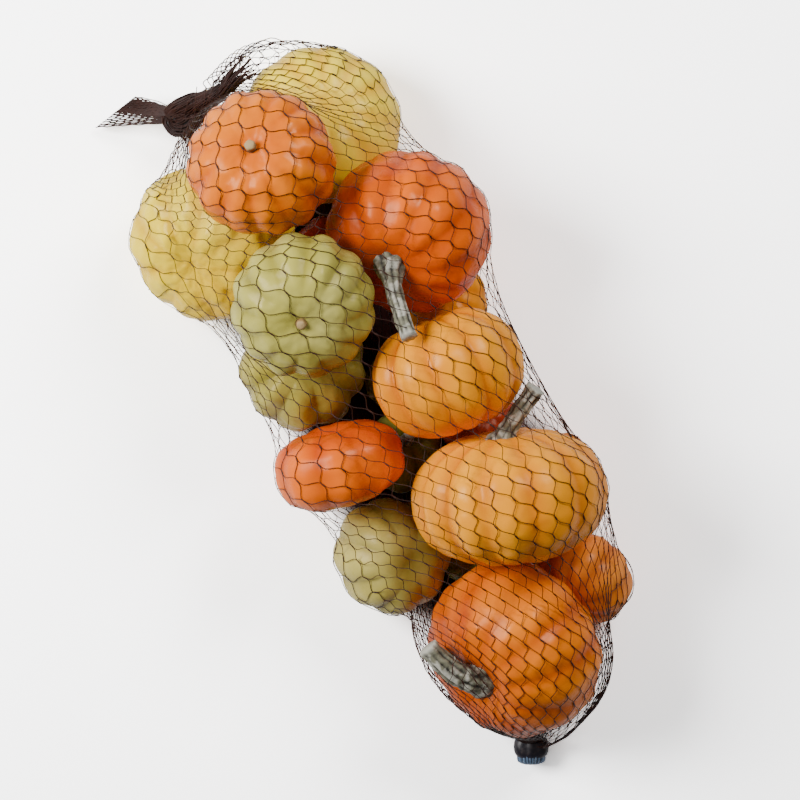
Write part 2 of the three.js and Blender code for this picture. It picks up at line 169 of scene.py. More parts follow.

# Skins: slot, colours (sRGB) of the crests, the grooves (their own deeper tone with painted
# shade), the paler bloom and the flush (a deeper tint, partly the skin's own colour and partly
# painted shade on the lower side), the direction that the flushed side faces, and the most that
# the flush covers.
SKINS = {
    "gourd_yellow_top": ("lemon_skin", "#FFDE30 #EEB420 #FFEC7C #F0B410", (0.2, -1, -0.6), 0.4),
    "gourd_yellow_side": ("yellow_skin", "#FBDA26 #D6A50E #FFEC66 #E8AE0E", (0.5, -0.9, -0.3), 0.6),
    "gourd_orange_top": ("orange_skin", "#EC7600 #BC4600 #F28E0C #C25200", (0.3, -0.6, -0.6), 0.5),
    "gourd_red_orange": ("red_orange_skin", "#EC6200 #A83000 #F27A00 #902400", (-1, 0.2, -0.2), 0.75),
    "gourd_olive_top": ("olive_skin", "#B4AC50 #857B2A #D2CC88 #8E802C", (0.4, -0.8, -0.4), 0.5),
    "gourd_olive_side": ("olive_skin", "#AEA040 #76691E #C8BF74 #85742A", (0.9, -0.4, -0.4), 0.5),
    "gourd_amber_middle": ("amber_skin", "#F69A00 #C85E00 #FAAE06 #DA6C00", (-0.6, -0.6, -0.4), 0.5),
    "gourd_amber_large": ("amber_skin", "#F69C00 #CC6A00 #FAB008 #E07A00", (0.2, -1, -0.4), 0.4),
    "gourd_orange_small": ("orange_skin", "#EC6400 #B03600 #F27C06 #A83000", (0.5, 0.9, -0.2), 0.7),
    "gourd_olive_end": ("olive_skin", "#B6A648 #6C5E18 #D2C680 #786620", (0.9, 0.5, -0.3), 0.5),
    "gourd_orange_end": ("orange_skin", "#EE7A00 #B84400 #F59208 #B43A00", (-1.0, -0.1, -0.2), 0.75),
    "gourd_burnt_orange": ("burnt_orange_skin", "#F48A2C #BC5814 #FAA04E #B45010", (0, 0, -1), 0.3),
    "gourd_deep_red": ("deep_red_skin", "#A02C0C #551206 #BC5030 #551206", (0, 0, -1), 0.5),
    "gourd_olive_inner": ("olive_skin", "#8A8432 #4A4512 #A6A058 #4A4512", (0, 0, -1), 0.5),
}
for node, *_, like in LOW_GOURDS:
    SKINS[node] = SKINS[like]

# ------------------------------------------------------------------ the net's own sizes

ROWS = 61               # joints from the knot end to the clip end
COLUMNS = 57            # joints round the bag
LINK = 6.2              # length of strand between two joints
JOINT = 1.9             # length over which two strands are welded at a joint
TWIST = -135.0          # degrees by which the bag is twisted from end to end
SPREAD = 0.02           # share of its length by which rows leave the ends for the middle
FIRST_COLUMN = 90.0     # degrees round the bag at which its first column starts
ROUNDS = 500            # relaxation steps
SPRING = 0.05           # sideways push of the springy tube, a step
LIFT = 0.025            # the same towards the two ends
SAG = 0.01              # drop of the net under its own weight, a step
EVENNESS = 0.12         # share by which a joint moves to the middle of its neighbours, a step
STRAND_GAP = 0.45       # from a strand's middle to the skin under it
FLOOR_GAP = 0.05        # from a strand's underside to the floor
STRAND_RADIUS = 0.21
STRAND_THINNING = 0.92  # share of that radius between two joints
STRAND_POINTS = 4       # points of a strand between two joints
STRAND_LEAD = 0.34      # share of the gap between joints over which a strand leaves one straight
JOINT_RADIUS = 0.3
WELD_APART = 0.75       # offset of each of a joint's two strands, as a share of STRAND_RADIUS
BUNCHED_RADIUS = 0.3    # strands of the knot and the tail
LOOP_RADIUS = 0.26      # strands of the loose cells beside the neck
STRAY_RADIUS = 0.22     # single loose strands
STRAND_COLOUR = "#381C14"
CORE_STRANDS_SHADE = "#1A0D0B"           # the inside of the bundles, packed strands darker as painted shade
NECK = (-11.0, 180.5, 35.0)         # where the net gathers before the knot
NECK_HEADING = (0.2, -1.0, 0.3)
NECK_RADII = (15.0, 4.0)
MOUTH = (-26.5, -192.0, 10.0)       # where it gathers into the crimped band
MOUTH_HEADING = (-0.49, -0.87, -0.1)
MOUTH_RADII = (6.0, 3.0)
HEAP_MIDDLE = 56.0      # height at which the bag is widest
HEAP_HALF = 72.0        # half of the height over which its sides are round
HEAP_LIMIT = 0.95       # share of that half beyond which they get no closer
SPRING_START = -205.0   # y at which the sideways push starts to grow
SPRING_GROWTH = 60.0    # length over which it grows
SPRING_LEAST = 0.15     # share of it that is left at the clip end
KNOT_SHOULDER = 140.0   # y from which the net is pushed towards the knot end
CLIP_SHOULDER = -150.0  # y from which it is pushed towards the clip end
SHOULDER_GROWTH = 30.0  # length over which those two pushes grow
TUBE_HEIGHT = 62.0      # middle of the wide tube that the net starts from
TUBE_RADIUS = 105.0
TUBE_FLOOR = -30.0      # lowest point of that tube
TUBE_BLUNTNESS = 0.35   # how fast it opens from its gathered ends: less is faster
TUBE_JOINT = 0.15       # half a joint's length on it, as a share of the rows' spacing

# Folds of spare net that stand off the gourds: the line of each, its first row of joints and
# their number, the degrees of the bag's girth that it takes up to each side of the line, how
# far it goes in and up over them, the way in, and its hold on the joints, a step.
FOLDS = (
    dict(   # the pleat along the right of the last gourd, from its pinch to the band
        line=(
            (38.5, -158, 42), (35, -171, 40), (25.5, -183.5, 36), (13, -193, 30), (-2, -199, 22),
            (-17, -201, 15), (-25, -195, 10),
        ),
        first_row=ROWS - 13, rows=12, span=36.0, depth=(9.0, 7.0), way_in=(-1, 0), hold=0.1,
    ),
    dict(   # the shoulder beside the knot
        line=(
            (-8.5, 188.5, 38), (3, 193.5, 41), (15, 195.5, 43), (28, 194.5, 43), (39, 190.5, 42),
            (50, 183.5, 41), (62, 173, 39), (70, 159, 37),
        ),
        first_row=1, rows=15, span=16.0, depth=(3.0, 4.0), way_in=(-0.3, -0.95), hold=0.15,
    ),
)
FOLD_LEAST = 0.15       # share of a fold's rise that is left at the end of its line

# The two lobes of the knot: name, points along each and the radius there, its number of
# strands, their turns round it, their seed, and from which point on all of them have joined it.
LOBES = (
    (
        "knot_upper_lobe",
        ((19, 188, 46), (6, 185, 45), (-2.5, 183.5, 42), (-11, 184, 38), (-19, 186, 34),
         (-27, 188, 30), (-33, 189, 26)),
        (7.0, 4.6, 3.6, 4.2, 4.8, 4.6, 3.2), 96, 0.35, 3, 2,
    ),
    (
        "knot_lower_lobe",
        ((-8, 181, 34), (-14, 183, 32), (-20, 181.5, 30), (-26.5, 179.5, 27), (-32, 180.5, 23),
         (-35, 185, 21), (-34.5, 189.5, 22)),
        (2.6, 3.8, 5.2, 5.6, 4.8, 3.6, 2.8), 90, -0.45, 5, 0,
    ),
)
CORE_SHARE = 0.8        # share of a lobe's radius that its packed inside fills

# The flattened tail: its two corners at the knot and at its slanted end, and its layers, each
# with a number of strands, the shares of the width that it spans, its lift and its seed.
TAIL_ROOT = ((-36.5, 185.5, 20), (-31, 191.5, 24))
TAIL_END = ((-71.5, 204.5, 4), (-44, 207, 14))
TAIL_LAYERS = ((26, 0, 1, 0, 7), (20, 0.4, 1, 0.7, 8), (16, 0.5, 1, -0.6, 9))
TAIL_CELLS = 4.5        # cells along the tail
TAIL_SWING = 0.42       # how far a strand swings to each side, as a share of their spacing
TAIL_SAG = 1.5

# Loose cells beside the neck: the line of their feet and of their rims, and their number.
LOOP_FEET = ((-9, 188.5, 39), (0, 187.5, 43), (9, 189, 47), (16, 191, 48))
LOOP_RIMS = ((-4, 192.5, 40), (6, 196, 43), (18, 197.5, 45), (33, 194.5, 46))
LOOPS = 11
LOOP_RISE = (0.28, (-1.6, 2.4, 0.5))            # share of the way to the rim, and off that line
LOOP_TURN = (-1.2, 0, 0.5)          # from the rim's own line to where a loop turns over it
LOOP_END = (4.5, -1.0, 0)           # from the rim to where the first loop ends
LOOP_DROOP = 0.4        # how much further back each next loop ends

# Single strands that lie loose over the knot.
STRAYS = (
    ((-13, 191, 45), (-17, 185, 45), (-22, 179, 38), (-33, 171, 34)),
    ((-6, 186, 47), (-12, 182, 44), (-17, 177, 38), (-26, 171, 34)),
    ((-16, 190, 42), (-22, 186, 40), (-29, 180, 31), (-38, 170.5, 33)),
    ((-9, 189, 44), (-15, 181, 42), (-24, 175.5, 36), (-30, 168, 36)),
    ((-31, 191.5, 27), (-34, 196, 28), (-38, 200, 27), (-41.5, 203.5, 25)),
)

# The crimped band: its middle, half width, half height and length.
BAND_AT = (-29.0, -197.0, 9.5)
BAND_AXIS = (0.486, 0.874, 0.0)
BAND_HALF = (9.7, 5.6)
BAND_LENGTH = 10.6
BAND_SIDES = 60
BAND_FACETS = 6         # blunt faces round it
FACET_DEPTH = 0.035     # share of its radius
CRIMP_RIBS = 18         # ribs round its pinched end
CRIMP_RIB_DEPTH = 0.07  # share of that end's radius
CRIMP_SIZE = 0.74       # radius of that end, as a share of the band's
CRIMP_LENGTH = 4.6
CRIMP_OVERLAP = 1.2     # length of the pinched end that is inside the band

# How far the bag reaches to the left and right (x) at distances along it (y).
SIDES = (
    (-201, -34, -12), (-190, -42, 17), (-176, -50, 35), (-165, -54, 40), (-148, -58, 51),
    (-137, -59.5, 63), (-120, -57, 74.5), (-94, -60, 81), (-75, -71, 82), (-65, -69, 82.5),
    (-40, -69.5, 81), (-28, -74.5, 78), (-7, -74, 73.5), (18, -70.5, 70), (43, -70, 78),
    (56, -71, 84.5), (75, -74, 87), (90, -78, 81), (112, -86.5, 77), (138, -79, 74.5),
    (150, -68, 73.5), (161, -58, 70), (166, -51, 68), (172, -35, 65), (176, -28, 61),
    (184, -16, 52), (190, -8, 44), (196, 2, 32),
)

# ------------------------------------------------------------------ the view

VIEW_TURN = 29.1        # degrees between the bag's axis and the picture's upright
VIEW_HEIGHT = 1.285
VIEW_SHIFT = -0.0015
LENS = 108.0
SENSOR = 36.0
WORLD_LIGHT = 0.13      # strength of the even light from all round
BACKDROP = 1.5          # strength with which the camera sees it
FLOOR_HALF = 4.0        # half of the floor's width, in metres
FLOOR_GAIN = 3.6        # how much brighter the camera sees the floor than the gourds do
NOOK_REACH = 0.12       # metres within which things give the floor that the camera sees a painted shade
NOOK_OPENNESS = (0.22, 0.5)         # between these the floor goes from painted shade to open
# the dark colour of that painted shade under and between the gourds
NOOK_PAINTED_SHADE = (0.05, 0.02, 0.02, 1.0)

# Softboxes: name, place to the picture's left, to its top and up, and size, all in metres.
LIGHTS = (("left_light", (0.9, 0.25, 0.85), 0.6), ("right_light", (-0.6, 0.8, 1.0), 0.45))
LIT_POINT = Vector((0, 0, 0.05))    # what both of them face


def colour(text):
    """A linear RGBA colour from an sRGB hex text."""
    channels = [int(text[i:i + 2], 16) / 255 for i in (1, 3, 5)]
    linear = [c / 12.92 if c <= 0.04045 else ((c + 0.055) / 1.055) ** 2.4 for c in channels]
    return (*linear, 1.0)


# ------------------------------------------------------------------ the form of a gourd

def unit(vectors):
    """One vector, or each of a list of them, at a length of one."""
    return vectors / np.linalg.norm(vectors, axis=-1, keepdims=True)


def phase(seed, harmonic):
    """A fixed phase for one harmonic of a gourd's unevenness."""
    turns = seed * 0.618 + harmonic * harmonic * 0.318
    return 2 * math.pi * (turns - math.floor(turns))


def scattered_angle(number, seed):
    """A fixed angle for each whole number, with no order from one number to the next."""
    spread = np.sin(number * 12.99 + seed * 78.2) * 437.5
    return 2 * math.pi * (spread - np.floor(spread))


def smooth_step(low, high, value):
    t = np.clip((value - low) / (high - low), 0, 1)
    return t * t * (3 - 2 * t)


def rib_crest(gourd, around):
    """0 in the grooves and 1 along the middle of each rib, and the rib's number."""
    drift = sum(0.06 / k * np.sin(k * around + phase(gourd["seed"], k)) for k in (1, 2, 3))
    turns = gourd["ribs"] * (around + drift + math.radians(gourd["turn"])) / (2 * math.pi)
    return np.abs(np.sin(math.pi * turns)), np.floor(turns) % gourd["ribs"]


def groove_share(gourd, around, across):
    """How deep in a groove each direction is: 0 on a crest, 1 at the bottom."""
    grooved = 1 - rib_crest(gourd, around)[0] ** gourd["soft"]
    return smooth_step(*gourd["shoulder"], across) * grooved


def knob_height(gourd, around, across, along):
    """Knobs that follow each other along a rib, out of step from rib to rib."""
    crest, number = rib_crest(gourd, around)
    shift = scattered_angle(number, gourd["seed"])
    down = np.arctan2(across, along)
    wave = np.cos(2 * gourd["knob_count"] * down + shift + 0.9 * np.sin(3 * down + 2 * shift))
    strength = 0.6 + 0.4 * np.sin(2 * down + 3 * shift)
    return gourd["knobs"] * strength * crest ** 0.8 * wave * smooth_step(0.4, 0.8, across)


def facing(gourd, heading, around, across, along):
    """How squarely directions in the gourd's own frame face a heading of the part's frame."""
    toward = gourd_axes(gourd) @ heading
    level = np.cos(around) * toward[0] + np.sin(around) * toward[1]
    return across * level + along * toward[2]


def dent_share(gourd, around, across, along):
    """The share of the radius that broad dents take away."""
    taken = 0
    for heading, width, depth in DENTS.get(gourd["node"], ()):
        heading = np.array(heading) / np.linalg.norm(heading)
        faced = facing(gourd, heading, around, across, along)
        taken = taken + depth * np.exp(2 * (faced - 1) / width ** 2)
    return taken


def skin_radius(gourd, around, across, along):
    """Distance from the gourd's centre to its skin in unit directions of its own frame."""
    half = np.where(along > 0, gourd["stem_half"], gourd["scar_half"])
    power = SQUARER.get(gourd["node"], SQUARENESS)
    skin = ((across / gourd["radius"]) ** power + (np.abs(along) / half) ** power) ** (-1 / power)
    down = np.arctan2(across, along)
    skin = skin * (1 - gourd["cavity"] * np.exp(-((down / CAVITY_WIDTH) ** 2)))
    skin = skin * (1 - gourd["scar"] * np.exp(-(((math.pi - down) / SCAR_WIDTH) ** 2)))
    heading, more = gourd["deep"]
    heading = (math.cos(math.radians(heading)), math.sin(math.radians(heading)), 0)
    faced = facing(gourd, heading, around, across, along)
    depth = gourd["groove"] * (1 + more * np.clip(faced, 0, 1))
    skin = skin * (1 - depth * groove_share(gourd, around, across))
    skin = skin * (1 - dent_share(gourd, around, across, along))
    skin = skin + knob_height(gourd, around, across, along)
    lumps = sum(
        gourd["uneven"] / k * np.cos(k * around + phase(gourd["seed"], k + 3)) for k in (1, 2, 3)
    )
    return skin * (1 + lumps * across)


def gourd_matrix(gourd):
    """From the gourd's own frame, z from scar to stem and x on the low side, in millimetres."""
    turn = Matrix.Rotation(math.radians(gourd["heading"]), 4, "Z")
    tilt = Matrix.Rotation(math.radians(gourd["tilt"]), 4, "Y")
    return Matrix.Translation(gourd["at"]) @ turn @ tilt


def gourd_axes(gourd):
    return np.array(gourd_matrix(gourd).to_3x3()).T


def gourd_named(node):
    return next(gourd for gourd in GOURDS if gourd["node"] == node)


def short_name(gourd):
    return gourd["node"].replace("gourd_", "")


# ------------------------------------------------------------------ making pieces

def finish_piece(name, bm, material, node):
    """Turns a bmesh in millimetres into a piece that stands for a CAD node."""
    bmesh.ops.transform(bm, matrix=Matrix.Scale(MM, 4), verts=bm.verts)
    bmesh.ops.recalc_face_normals(bm, faces=bm.faces)
    mesh = bpy.data.meshes.new(name)
    bm.to_mesh(mesh)
    bm.free()
    return dress_piece(name, mesh, material, node)


def dress_piece(name, mesh, material, node):
    for polygon in mesh.polygons:
        polygon.use_smooth = True
    mesh.materials.clear()
    mesh.materials.append(material)
    piece = bpy.data.objects.new(name, mesh)
    bpy.context.scene.collection.objects.link(piece)
    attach(piece, BODY)
    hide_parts(node)
    return piece


def float_layer(bm, name, values):
    layer = bm.verts.layers.float.new(name)
    for vert, value in zip(bm.verts, values):
        vert[layer] = float(value)


def swell(points, size, seed, octaves=3):
    """Smooth noise from -1 to 1 at each point, with features of the given size."""
    shift = Vector((seed * 7.3, seed * 3.1, seed * 5.7))
    return np.array([
        noise.fractal(Vector(point) / size + shift, 1.0, 2.0, octaves) for point in points
    ])


# ------------------------------------------------------------------ shader pieces

def node_group(name, inputs, outputs):
    """A new shader group, its input and its output node; each socket is given with a value."""
    group = bpy.data.node_groups.new(name, "ShaderNodeTree")
    for way, sockets in (("INPUT", inputs), ("OUTPUT", outputs)):
        for label, value in sockets.items():
            kind = "NodeSocketColor" if isinstance(value, tuple) else "NodeSocketFloat"
            socket = group.interface.new_socket(name=label, in_out=way, socket_type=kind)
            socket.default_value = value
    entry = group.nodes.new("NodeGroupInput")
    leave = group.nodes.new("NodeGroupOutput")
    return group, entry, leave


def set_socket(tree, socket, value):
    """Sets a socket to a number or colour, or links another socket to it."""
    if isinstance(value, (int, float, tuple)):
        socket.default_value = value
    else:
        tree.links.new(value, socket)


def add_noise(tree, vector, scale, detail=3.0, roughness=0.5):
    node = tree.nodes.new("ShaderNodeTexNoise")
    node.inputs["Scale"].default_value = scale
    node.inputs["Detail"].default_value = detail
    node.inputs["Roughness"].default_value = roughness
    tree.links.new(vector, node.inputs["Vector"])
    return node.outputs["Fac"]


def add_math(tree, operation, first, second, clamp=False):
    node = tree.nodes.new("ShaderNodeMath")
    node.operation = operation
    node.use_clamp = clamp
    for socket, value in zip(node.inputs, (first, second)):
        set_socket(tree, socket, value)
    return node.outputs[0]


def add_range(tree, value, low, high, to_low=0.0, to_high=1.0):
    limits = (low, high, to_low, to_high)
    node = tree.nodes.new("ShaderNodeMapRange")
    node.interpolation_type = "SMOOTHSTEP"
    for label, number in zip(("From Min", "From Max", "To Min", "To Max"), limits):
        node.inputs[label].default_value = number
    tree.links.new(value, node.inputs["Value"])
    return node.outputs["Result"]


def add_mix(tree, share, first, second):
    node = tree.nodes.new("ShaderNodeMix")
    node.data_type = "RGBA"
    for place, value in ((0, share), (6, first), (7, second)):
        set_socket(tree, node.inputs[place], value)
    return node.outputs[2]


def add_attribute(tree, name):
    node = tree.nodes.new("ShaderNodeAttribute")
    node.attribute_type = "GEOMETRY"
    node.attribute_name = name
    return node.outputs["Fac"]


def object_coordinates(tree):
    return tree.nodes.new("ShaderNodeTexCoord").outputs["Object"]


def mottled_skin_group():
    """Waxy squash skin: grooves, hollows and flanks of a deeper colour, partly the skin's own
    colour and partly painted shade, soft mottling, pale freckles.
    """
    found = bpy.data.node_groups.get("mottled_skin")
    if found:
        return found
    group, entry, leave = node_group(
        "mottled_skin",
        {
            "Crest": colour("#F3AA40"), "Groove": colour("#BC6C27"), "Bloom": colour("#F9CC95"),
            "Blush and shade": colour("#AA3F1A"), "Groove shade": 0.0, "Blush and shade share": 0.0, "Shine": 0.3,
        },
        {"Color": (0.0, 0.0, 0.0, 1.0), "Roughness": 0.0, "Height": 0.0},
    )
    where = object_coordinates(group)
    broad = add_noise(group, where, 28.0, 2.0)
    patchy = add_noise(group, where, 95.0, 3.0, 0.55)
    fine = add_noise(group, where, 900.0, 2.0)
    cloud = add_range(group, broad, 0.38, 0.68)
    # painted shade, partly the skin's own deeper tone: the groove colour fills the grooves and the
    # hollows
    deep = add_math(group, "MULTIPLY", entry.outputs["Groove shade"], 0.75)
    deep = add_math(group, "ADD", deep, add_range(group, patchy, 0.5, 0.8, 0.0, 0.22), True)
    body = add_mix(group, deep, entry.outputs["Crest"], entry.outputs["Groove"])
    body = add_mix(group, add_math(group, "MULTIPLY", cloud, 0.3), body, entry.outputs["Bloom"])
    # the flushed flank: a deeper tint, partly the skin's own colour and partly painted shade on its
    # lower side
    body = add_mix(group, entry.outputs["Blush and shade share"], body, entry.outputs["Blush and shade"])
    freckles = group.nodes.new("ShaderNodeTexVoronoi")
    freckles.inputs["Scale"].default_value = 330.0
    group.links.new(where, freckles.inputs["Vector"])
    dots = add_range(group, freckles.outputs["Distance"], 0.0, 0.16, 1.0, 0.0)
    some = add_range(group, add_noise(group, where, 140.0, 1.0), 0.5, 0.62)
    dots = add_math(group, "MULTIPLY", dots, some)
    body = add_mix(group, add_math(group, "MULTIPLY", dots, 0.22), body, entry.outputs["Bloom"])
    group.links.new(body, leave.inputs["Color"])
    rough = add_range(group, patchy, 0.3, 0.75, -0.04, 0.12)
    rough = add_math(group, "ADD", entry.outputs["Shine"], rough)
    group.links.new(rough, leave.inputs["Roughness"])
    height = add_math(group, "ADD", patchy, add_math(group, "MULTIPLY", fine, 0.12))
    height = add_math(group, "SUBTRACT", height, add_math(group, "MULTIPLY", dots, 0.15))
    group.links.new(height, leave.inputs["Height"])
    return group


def bare_material(name):
    """A material with only a Principled BSDF in it, its tree and that shader."""
    material = bpy.data.materials.new(name)
    material.use_nodes = True
    tree = material.node_tree
    shader = next(n for n in tree.nodes if n.type == "BSDF_PRINCIPLED")
    return material, tree, shader


def add_bump(tree, shader, height, strength, distance):
    bump = tree.nodes.new("ShaderNodeBump")
    bump.inputs["Strength"].default_value = strength
    bump.inputs["Distance"].default_value = distance
    tree.links.new(height, bump.inputs["Height"])
    tree.links.new(bump.outputs["Normal"], shader.inputs["Normal"])


def add_effect(tree, shader, group, colours, masks):
    """A group whose colours are set, whose masks are read from the mesh, and which colours a
    shader."""
    effect = tree.nodes.new("ShaderNodeGroup")
    effect.node_tree = group
    for label, tint in colours.items():
        effect.inputs[label].default_value = colour(tint)
    for label, attribute in masks.items():
        tree.links.new(add_attribute(tree, attribute), effect.inputs[label])
    tree.links.new(effect.outputs["Color"], shader.inputs["Base Color"])
    return effect


def skin_material(gourd):
    material, tree, shader = bare_material(short_name(gourd) + "_skin")
    colours = dict(zip(("Crest", "Groove", "Bloom", "Blush and shade"), SKINS[gourd["node"]][1].split()))
    masks = {"Groove shade": "groove_shade", "Blush and shade share": "blush_and_shade"}
    effect = add_effect(tree, shader, mottled_skin_group(), colours, masks)
    effect.inputs["Shine"].default_value = SKIN_ROUGHNESS
    tree.links.new(effect.outputs["Roughness"], shader.inputs["Roughness"])
    shader.inputs["Specular IOR Level"].default_value = SKIN_SPECULAR
    shader.inputs["Specular Tint"].default_value = SKIN_GLINT
    add_bump(tree, shader, effect.outputs["Height"], *SKIN_BUMP)
    return material


def corky_group():
    """Dried stalk: grey-green cork with dark furrows, partly their own tone and partly painted
    shade, and pale, silvery ridges.
    """
    found = bpy.data.node_groups.get("corky_stalk")
    if found:
        return found
    group, entry, leave = node_group(
        "corky_stalk",
        {
            "Cork": colour("#95917C"), "Furrow": colour("#3F3B30"), "Ridge": colour("#CBC8BC"),
            "Furrow and foot shade": 0.0, "Cut end": 0.0,
        },
        {"Color": (0.0, 0.0, 0.0, 1.0), "Height": 0.0},
    )
    where = object_coordinates(group)
    grain = add_noise(group, where, 420.0, 4.0, 0.65)
    blotch = add_noise(group, where, 150.0, 2.0)
    ragged = add_range(group, grain, 0.35, 0.7, 0.25, -0.25)
    # painted shade in the furrows, partly the cork's own darker tone
    furrow = add_math(group, "ADD", entry.outputs["Furrow and foot shade"], ragged, True)
    body = add_mix(group, furrow, entry.outputs["Cork"], entry.outputs["Furrow"])
    bare = add_math(group, "SUBTRACT", 1.0, furrow)
    ridge = add_math(group, "MULTIPLY", add_range(group, blotch, 0.48, 0.62), bare)
    ridge = add_math(group, "MULTIPLY", ridge, 0.75)
    ridge = add_math(group, "MAXIMUM", ridge, entry.outputs["Cut end"])
    body = add_mix(group, ridge, body, entry.outputs["Ridge"])
    group.links.new(body, leave.inputs["Color"])
    group.links.new(grain, leave.inputs["Height"])
    return group


def stalk_material(name, colours):
    material, tree, shader = bare_material(name)
    colours = dict(zip(("Cork", "Furrow", "Ridge"), colours))
    masks = {"Furrow and foot shade": "furrow_and_foot_shade", "Cut end": "cut_end"}
    effect = add_effect(tree, shader, corky_group(), colours, masks)
    shader.inputs["Roughness"].default_value = 0.7
    add_bump(tree, shader, effect.outputs["Height"], *STALK_BUMP)
    return material


def strand_material(name, tint):
    """Thin extruded plastic: dark, a little shiny, its tone drifting along the strand."""
    found = bpy.data.materials.get(name)
    if found:
        return found
    material, tree, shader = bare_material(name)
    drift = add_noise(tree, object_coordinates(tree), 60.0, 2.0)
    dark = (*(0.6 * channel for channel in tint), 1.0)
    body = add_mix(tree, add_range(tree, drift, 0.35, 0.65), (*tint, 1.0), dark)
    tree.links.new(body, shader.inputs["Base Color"])
    shader.inputs["Roughness"].default_value = 0.45
    shader.inputs["Specular IOR Level"].default_value = 0.25
    return material


# ------------------------------------------------------------------ gourds

def lump_height(gourd, directions):
    return gourd["lumps"] * swell(directions * gourd["radius"], LUMP_SIZE, gourd["seed"])


def build_skin(gourd, segments, rings):
    bm = bmesh.new()
    bmesh.ops.create_uvsphere(bm, u_segments=segments, v_segments=rings, radius=1.0)
    directions = unit(np.array([vert.co[:] for vert in bm.verts]))
    across = np.hypot(directions[:, 0], directions[:, 1])
    around = np.arctan2(directions[:, 1], directions[:, 0])
    radius = skin_radius(gourd, around, across, directions[:, 2])
    radius = radius + lump_height(gourd, directions)
    points = (directions * radius[:, None]) @ gourd_axes(gourd) + np.array(gourd["at"])
    points[:, 2] = np.maximum(points[:, 2], RESTING_HEIGHT)
    for vert, point in zip(bm.verts, points):
        vert.co = point
    # painted shade: the grooves, the stem cavity and the blossom scar take the groove colour, the
    # grooves partly as their own deeper tone
    down = np.arctan2(across, directions[:, 2])
    hollow = np.exp(-((down / CAVITY_SHADE_WIDTH) ** 2))
    hollow = hollow + np.exp(-(((math.pi - down) / SCAR_SHADE_WIDTH) ** 2))
    shade = groove_share(gourd, around, across) + HOLLOW_SHADE * hollow
    float_layer(bm, "groove_shade", np.clip(shade, 0, 1))
    # a flush on one side, partly the skin's own colour and partly painted shade on the side that
    # faces down
    slot, *_, blush_shade_side, most = SKINS[gourd["node"]]
    faced = (directions @ gourd_axes(gourd)) @ (np.array(blush_shade_side) / np.linalg.norm(blush_shade_side))
    ragged = BLUSH_SHADE_RAGGED * swell(directions * gourd["radius"], BLUSH_SHADE_PATCH, gourd["seed"] + 40)
    float_layer(bm, "blush_and_shade", most * smooth_step(*BLUSH_SHADE_EDGE, faced + ragged))
    material = skin_material(gourd)
    return finish_piece("skin_" + short_name(gourd), bm, material, gourd["node"])


# ------------------------------------------------------------------ stalks

def stem_path(gourd, stem, steps):
    """Points along a stalk's middle and its radius there, in the frame of the part."""
    foot = gourd["stem_half"] * (1 - gourd["cavity"]) - STEM_DEPTH
    root = np.array([0, 0, foot])
    bend = np.array([0, 0, foot + STEM_DEPTH + stem["rise"]])
    t = np.linspace(0, 1, steps)[:, None]
    if stem["tip"]:
        tip = gourd_axes(gourd) @ (np.array(stem["tip"]) - np.array(gourd["at"]))
        path = root * (1 - t) ** 2 + 2 * bend * t * (1 - t) + tip * t * t
    else:
        path = root * (1 - t) + bend * t
    radii = np.interp(2 * t[:, 0], (0, 1, 2), stem["radii"])
    return path @ gourd_axes(gourd) + np.array(gourd["at"]), radii


def along_frames(path):
    """Forward, side and up directions that turn smoothly along a path."""
    forward = np.gradient(path, axis=0)
    forward /= np.linalg.norm(forward, axis=1)[:, None]
    side = np.cross(forward[0], NEVER_FORWARD)
    sides = []
    for direction in forward:
        side = side - direction * side.dot(direction)
        side /= np.linalg.norm(side)
        sides.append(side)
    sides = np.array(sides)
    return forward, sides, np.cross(sides, forward)


def swept_bmesh(path, reach, sides):
    """A closed tube along a path; reach gives its radius for each step and each side."""
    _, across, up = along_frames(path)
    turn = np.linspace(0, 2 * math.pi, sides, endpoint=False)
    bm = bmesh.new()
    ring = bmesh.ops.create_circle(bm, segments=sides, radius=1.0)["verts"]
    edges = list(bm.edges)
    for step, middle in enumerate(path):
        if step:
            grown = bmesh.ops.extrude_edge_only(bm, edges=edges)["geom"]
            edges = [item for item in grown if isinstance(item, bmesh.types.BMEdge)]
            edges = [edge for edge in edges if all(len(v.link_edges) <= 3 for v in edge.verts)]
            fresh = {item for item in grown if isinstance(item, bmesh.types.BMVert)}
            follow = {}     # the new vertex that grew out of each old one, to keep their order
            for vert in fresh:
                for edge in vert.link_edges:
                    other = edge.other_vert(vert)
                    if other not in fresh:
                        follow[other] = vert
            ring = [follow[vert] for vert in ring]
            edges = [edge for edge in edges if edge.verts[0] in fresh and edge.verts[1] in fresh]
        for side, vert in enumerate(ring):
            spoke = math.cos(turn[side]) * across[step] + math.sin(turn[side]) * up[step]
            vert.co = middle + reach[step][side] * spoke
    bmesh.ops.holes_fill(bm, edges=[edge for edge in bm.edges if edge.is_boundary], sides=0)
    bmesh.ops.triangulate(bm, faces=[face for face in bm.faces if len(face.verts) > 4])
    return bm


def stalk_grid(gourd, stem, steps, sides):
    """A stalk's path and radii, and how far along it and how far round it each point is."""
    path, radii = stem_path(gourd, stem, steps)
    t = np.linspace(0, 1, steps)[:, None]
    turn = np.linspace(0, 2 * math.pi, sides, endpoint=False)[None, :]
    return path, radii[:, None], t + 0 * turn, turn + 0 * t


def finish_stalk(gourd, kind, bm, furrow, cut, colours):
    float_layer(bm, "furrow_and_foot_shade", np.resize(furrow, len(bm.verts)))
    float_layer(bm, "cut_end", np.resize(cut, len(bm.verts)))
    material = stalk_material(f"{short_name(gourd)}_{kind}", colours)
    return finish_piece(f"{kind}_{short_name(gourd)}", bm, material, gourd["node"])


